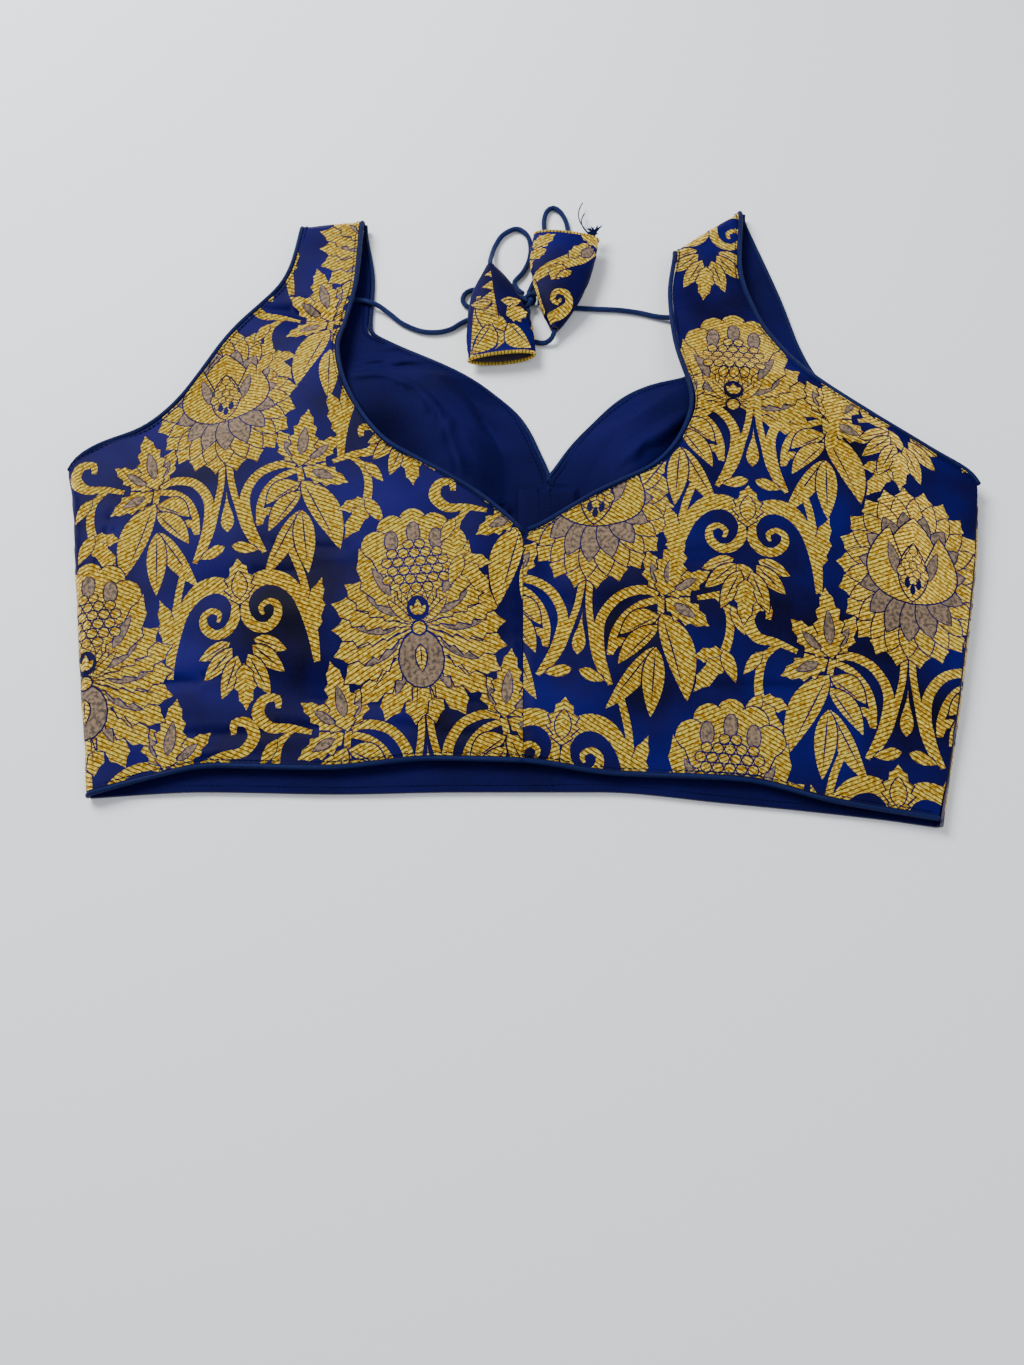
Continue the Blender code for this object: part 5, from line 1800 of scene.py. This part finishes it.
@dataclass(frozen=True)
class Tassel:
    """A flat cone of brocade that is open at its mouth, as the CAD has it.

    Args:
        node: Its CAD node.
        motif: The drawing on it.
        tip: The tip's place.
        mouth: The mouth's place.
        heights: The middle line's height at the tip, the middle and the mouth.
        wall: The cloth's thickness.
        hem_radius: The radius of the rolled mouth.
        shares: The shares of the length at which its breadth and depth are given.
        half_widths: Half its breadth there.
        half_heights: Half its depth there.
    """

    node: str
    motif: str
    tip: tuple
    mouth: tuple
    heights: tuple
    wall: float = 1.0
    hem_radius: float = 0.95
    shares: tuple = (0.0, 0.06, 0.2, 0.4, 0.62, 0.82, 1.0)
    half_widths: tuple = (2.4, 4.8, 9.5, 14.2, 17.4, 18.9, 18.5)
    half_heights: tuple = (2.4, 3.1, 4.2, 5.0, 5.5, 5.5, 5.0)

    def ring(self, share: float, count: int = 73) -> tuple[np.ndarray, float]:
        """A ring of the cone at a share of its length, and the ring's girth.

        Args:
            share: The share of the length from the tip.
            count: The number of samples, evenly spaced round the cloth.

        Returns:
            The ring's points, from the middle of its underside round and back, and its girth.
        """
        tip, mouth = np.array(self.tip), np.array(self.mouth)
        axis = mouth - tip
        sideways = np.array((axis[1], -axis[0], 0.0)) / np.linalg.norm(axis)
        wide = curve_through(list(self.half_widths), list(self.shares), share)
        high = curve_through(list(self.half_heights), list(self.shares), share)
        tip_z, middle_z, mouth_z = self.heights
        if share < 0.35:
            lie = mixed(tip_z, middle_z, eased(share / 0.35))
        else:
            lie = mixed(middle_z, mouth_z, eased((share - 0.55) / 0.45))
        turns = np.linspace(-math.pi / 2, 1.5 * math.pi, 289)
        swell = 1.0 + 0.035 * np.sin(turns * 3 + share * 7) * share
        curve = sideways * (wide * np.cos(turns) * swell)[:, None]
        curve[:, 2] += high * np.sin(turns) * swell
        run = distances(curve)
        even = np.linspace(0.0, run[-1], count)
        curve = np.stack([np.interp(even, run, curve[:, axis_index]) for axis_index in range(3)], 1)
        return curve + np.array((*(tip + axis * share), lie)), float(run[-1])

    def form(self) -> tuple[np.ndarray, np.ndarray, np.ndarray]:
        """The cone's grid, its flat cut, and its outward normals."""
        length = float(np.linalg.norm(np.array(self.mouth) - np.array(self.tip)))
        rings, flats = [], []
        for share in np.linspace(0.0, 1.0, 41):
            ring, girth = self.ring(float(share))
            rings.append(ring)
            across = np.linspace(-girth / 2, girth / 2, len(ring))
            flats.append(np.stack((across, np.full(len(ring), length * share)), 1))
        grid = np.array(rings)
        around = np.gradient(grid, axis=1)
        return grid, np.array(flats), unit(np.cross(np.gradient(grid, axis=0), around))


TASSELS = (
    Tassel("latkan_left", "tassel_leaf", (-19.0, 161.0), (-12.0, 101.0), (8.2, 9.2, 5.8)),
    Tassel("latkan_right", "tassel_curl", (16.6, 120.0), (23.6, 180.0), (5.4, 9.2, 9.2)),
)


@dataclass
class Bow:
    """The tie cords, their knot and the two cloth tassels.

    Args:
        finishes: The materials by name.
        motifs: The drawings by name.
        cords: Each cord's piece and path, by name.
        tassels: Each tassel's cloth and hem, by name.
        frays: The loose threads.
        knot: The knot's piece.
        fray_corner: Where the tuft grows from.
        fray_count: The number of short threads in it.
        fray_radius: Their radius.
        fray_shortest: The length of the shortest.
        fray_spread: How much longer the longest is.
        long_radius: The radius of the two long threads.
        long_length: The rise of the longer one.
        long_sway: How far it bows aside.
        long_drop: How far it falls at its end.
    """

    finishes: dict
    motifs: dict
    cords: dict = field(default_factory=dict)
    tassels: dict = field(default_factory=dict)
    frays: list = field(default_factory=list)
    knot: bpy.types.Object | None = None
    fray_corner: tuple = (38.5, 180.5, 9.6)
    fray_count: int = 40
    fray_radius: float = 0.34
    fray_shortest: float = 4.0
    fray_spread: float = 4.5
    long_radius: float = 0.36
    long_length: float = 31.0
    long_sway: float = 7.0
    long_drop: float = 6.2

    def knot_point(self, degrees: float) -> tuple:
        """Where a cord that faces this way meets the knot."""
        turn = math.radians(degrees)
        x, y = KNOT[0] + KNOT_REACH * math.cos(turn), KNOT[1] + KNOT_REACH * math.sin(turn)
        return (x, y, KNOT[2] - KNOT_DROP)

    def build_cords(self) -> None:
        """Builds each cord on its own route."""
        for name, route in CORD_ROUTES.items():
            points = [self.knot_point(point) if isinstance(point, float) else point for point in route]
            line = smooth_line(points, CORD_STEP)
            piece = tube_mesh(name + "_cord", line, CORD_RADIUS, 12)
            dress(piece, name, "navy_bias", self.finishes["cord"])
            self.cords[name] = (piece, (line - CENTRE) * MM)

    def build_knot(self) -> None:
        """Builds the knot as one strand that passes over and under itself."""
        turns = np.linspace(0.0, 2 * math.pi, 97)
        strand = np.stack((
            KNOT[0] + KNOT_SIZE * (np.sin(turns) + 2 * np.sin(2 * turns)),
            KNOT[1] + KNOT_SIZE * (np.cos(turns) - 2 * np.cos(2 * turns)),
            KNOT[2] - KNOT_RISE * np.sin(3 * turns),
        ), 1)
        self.knot = tube_mesh("bow_knot_strand", strand, CORD_RADIUS, 12)
        dress(self.knot, "bow_knot", "navy_bias", self.finishes["cord"])

    def build_tassel(self, tassel: Tassel) -> None:
        """Builds a cloth tassel with its rolled mouth.

        Args:
            tassel: Its form and drawing.
        """
        grid, flats, normals = tassel.form()
        outline = grid_outline(flats)
        weave = Weave((Place(tassel.motif, 0.0, 0.0, 0.0),), self.motifs, 3.0)
        flat, tris, yarns, hatch = weave.mesh(outline)
        base, out = lie_on(flats, grid, normals, flat)
        piece = closed_shell(
            f"{tassel.node}_brocade", base - out * tassel.wall, base, -out, out, tris[:, ::-1],
            yarns, 3, flat, hatch[:, ::-1],
        )
        dress(piece, tassel.node, "brocade", *(self.finishes[name] for name in BROCADE_YARNS))
        hem = tube_mesh(f"{tassel.node}_hem", grid[-1] - normals[-1] * tassel.wall / 2, tassel.hem_radius, 8)
        dress(hem, "", "brocade", self.finishes["gold"])
        self.tassels[tassel.node] = (piece, hem)
        if tassel.node == "latkan_right":
            self.build_frays()

    def build_frays(self) -> None:
        """Builds the tuft of loose threads at the right tassel's corner."""
        rng = np.random.default_rng(7)
        corner = np.array(self.fray_corner)
        made = []
        for k in range(self.fray_count):
            spread = rng.uniform(-1.0, 1.0, 3)
            length = self.fray_shortest + self.fray_spread * rng.uniform()
            way = np.array((0.45 * spread[0] + 0.2, 1.0 if k % 3 else 0.5, 0.12 * spread[2]))
            points = [
                corner + np.array((spread[0] * 1.6, 0.0, spread[1] * 0.9)),
                corner + way * length * 0.45 + np.array((spread[1] * 0.8, 0.0, 0.4)),
                corner + way * length + np.array((spread[2] * 1.8, 0.0, -0.6)),
            ]
            made.append(tube_mesh(f"fray_{k}", smooth_line(points, 1.0), self.fray_radius, 5))
        for k, lean in enumerate((0.0, 1.6)):
            shares = np.linspace(0.0, 1.0, 25)
            sway = (lean - self.long_sway) * np.sin(shares * 0.8 * math.pi)
            rise = np.stack((sway, shares * (self.long_length - 5.0 * lean), -self.long_drop * shares), 1)
            made.append(tube_mesh(f"fray_long_{k}", corner + rise, self.long_radius, 5))
        for fray in made:
            dress(fray, "", "navy_bias", self.finishes["thread"])
        self.frays = made

    def declare(self, name: str, far_end: str, with_pieces: list) -> None:
        """Takes a cord, its far end and what is on it, and does nothing with them."""


def light(name: str, place: tuple, size: float, power: float, aim: tuple = (0.0, 0.0, 0.0)) -> None:
    """Adds a soft square light that faces a point."""
    data = bpy.data.lights.new(name, "AREA")
    data.size, data.energy = size, power
    made = added(name, data)
    made.location = place
    made.rotation_euler = (Vector(aim) - Vector(place)).to_track_quat("-Z", "Y").to_euler()


def stage() -> None:
    """The camera at the photograph's angle, a plain pale floor and soft light."""
    data = bpy.data.cameras.new("view")
    data.lens, data.sensor_width = LENS, SENSOR_WIDTH
    camera = added("view", data)
    camera.location = CAMERA_PLACE
    camera.rotation_euler = (math.radians(CAMERA_TILT), 0.0, 0.0)
    bpy.context.scene.camera = camera
    half = FLOOR_HALF
    mesh = bpy.data.meshes.new("floor")
    corners = [(-half, -half, 0.0), (half, -half, 0.0), (half, half, 0.0), (-half, half, 0.0)]
    mesh.from_pydata(corners, [], [(0, 1, 2, 3)])
    floor = added("floor", mesh)
    paper = bpy.data.materials.new("floor_paper")
    paper.use_nodes = True
    shader = paper.node_tree.nodes["Principled BSDF"]
    shader.inputs["Base Color"].default_value = FLOOR_COLOUR
    shader.inputs["Roughness"].default_value = FLOOR_ROUGHNESS
    mesh.materials.append(paper)
    world = bpy.data.worlds.new("soft")
    world.use_nodes = True
    world.node_tree.nodes["Background"].inputs["Color"].default_value = SKY_COLOUR
    world.node_tree.nodes["Background"].inputs["Strength"].default_value = SKY_STRENGTH
    bpy.context.scene.world = world
    light("key", (-0.75, 0.75, 1.05), 0.7, 39.0)
    light("fill", (0.9, -0.5, 1.2), 1.4, 9.0)


def main() -> None:
    """Builds the whole blouse in order."""
    logging.basicConfig(level=logging.INFO, format="%(name)s %(message)s")
    stage()
    weave = weave_group()
    named = {
        "satin": SATIN, "gold": GOLD, "mauve": MAUVE, "reverse": REVERSE,
        "lining": LINING, "bias": BIAS, "cord": CORD, "thread": THREAD,
    }
    finishes = {name: finish.build(weave) for name, finish in named.items()}
    motifs = {
        "lotus": draw_lotus(), "comb": draw_comb(), "head": draw_comb(False), "growth": draw_bare_growth(),
        "scroll": draw_scroll(), "tassel_leaf": draw_tassel_leaf(), "tassel_curl": draw_tassel_curl(),
    }
    bow = Bow(finishes, motifs)
    bow.build_cords()
    bow.build_knot()
    for tassel in TASSELS:
        bow.build_tassel(tassel)
    Blouse(finishes, motifs, Sewing(stitch_tree(), finishes["thread"])).build()
    bow.declare("dori_left", "knot", [bow.knot])
    bow.declare("dori_right", "knot", [])
    bow.declare("bow_loop_left", "object", [])
    bow.declare("bow_loop_right", "object", [])
    bow.declare("tail_left", "fitting", list(bow.tassels["latkan_left"]))
    bow.declare("tail_right", "fitting", list(bow.tassels["latkan_right"]))


if __name__ == "__main__":
    main()
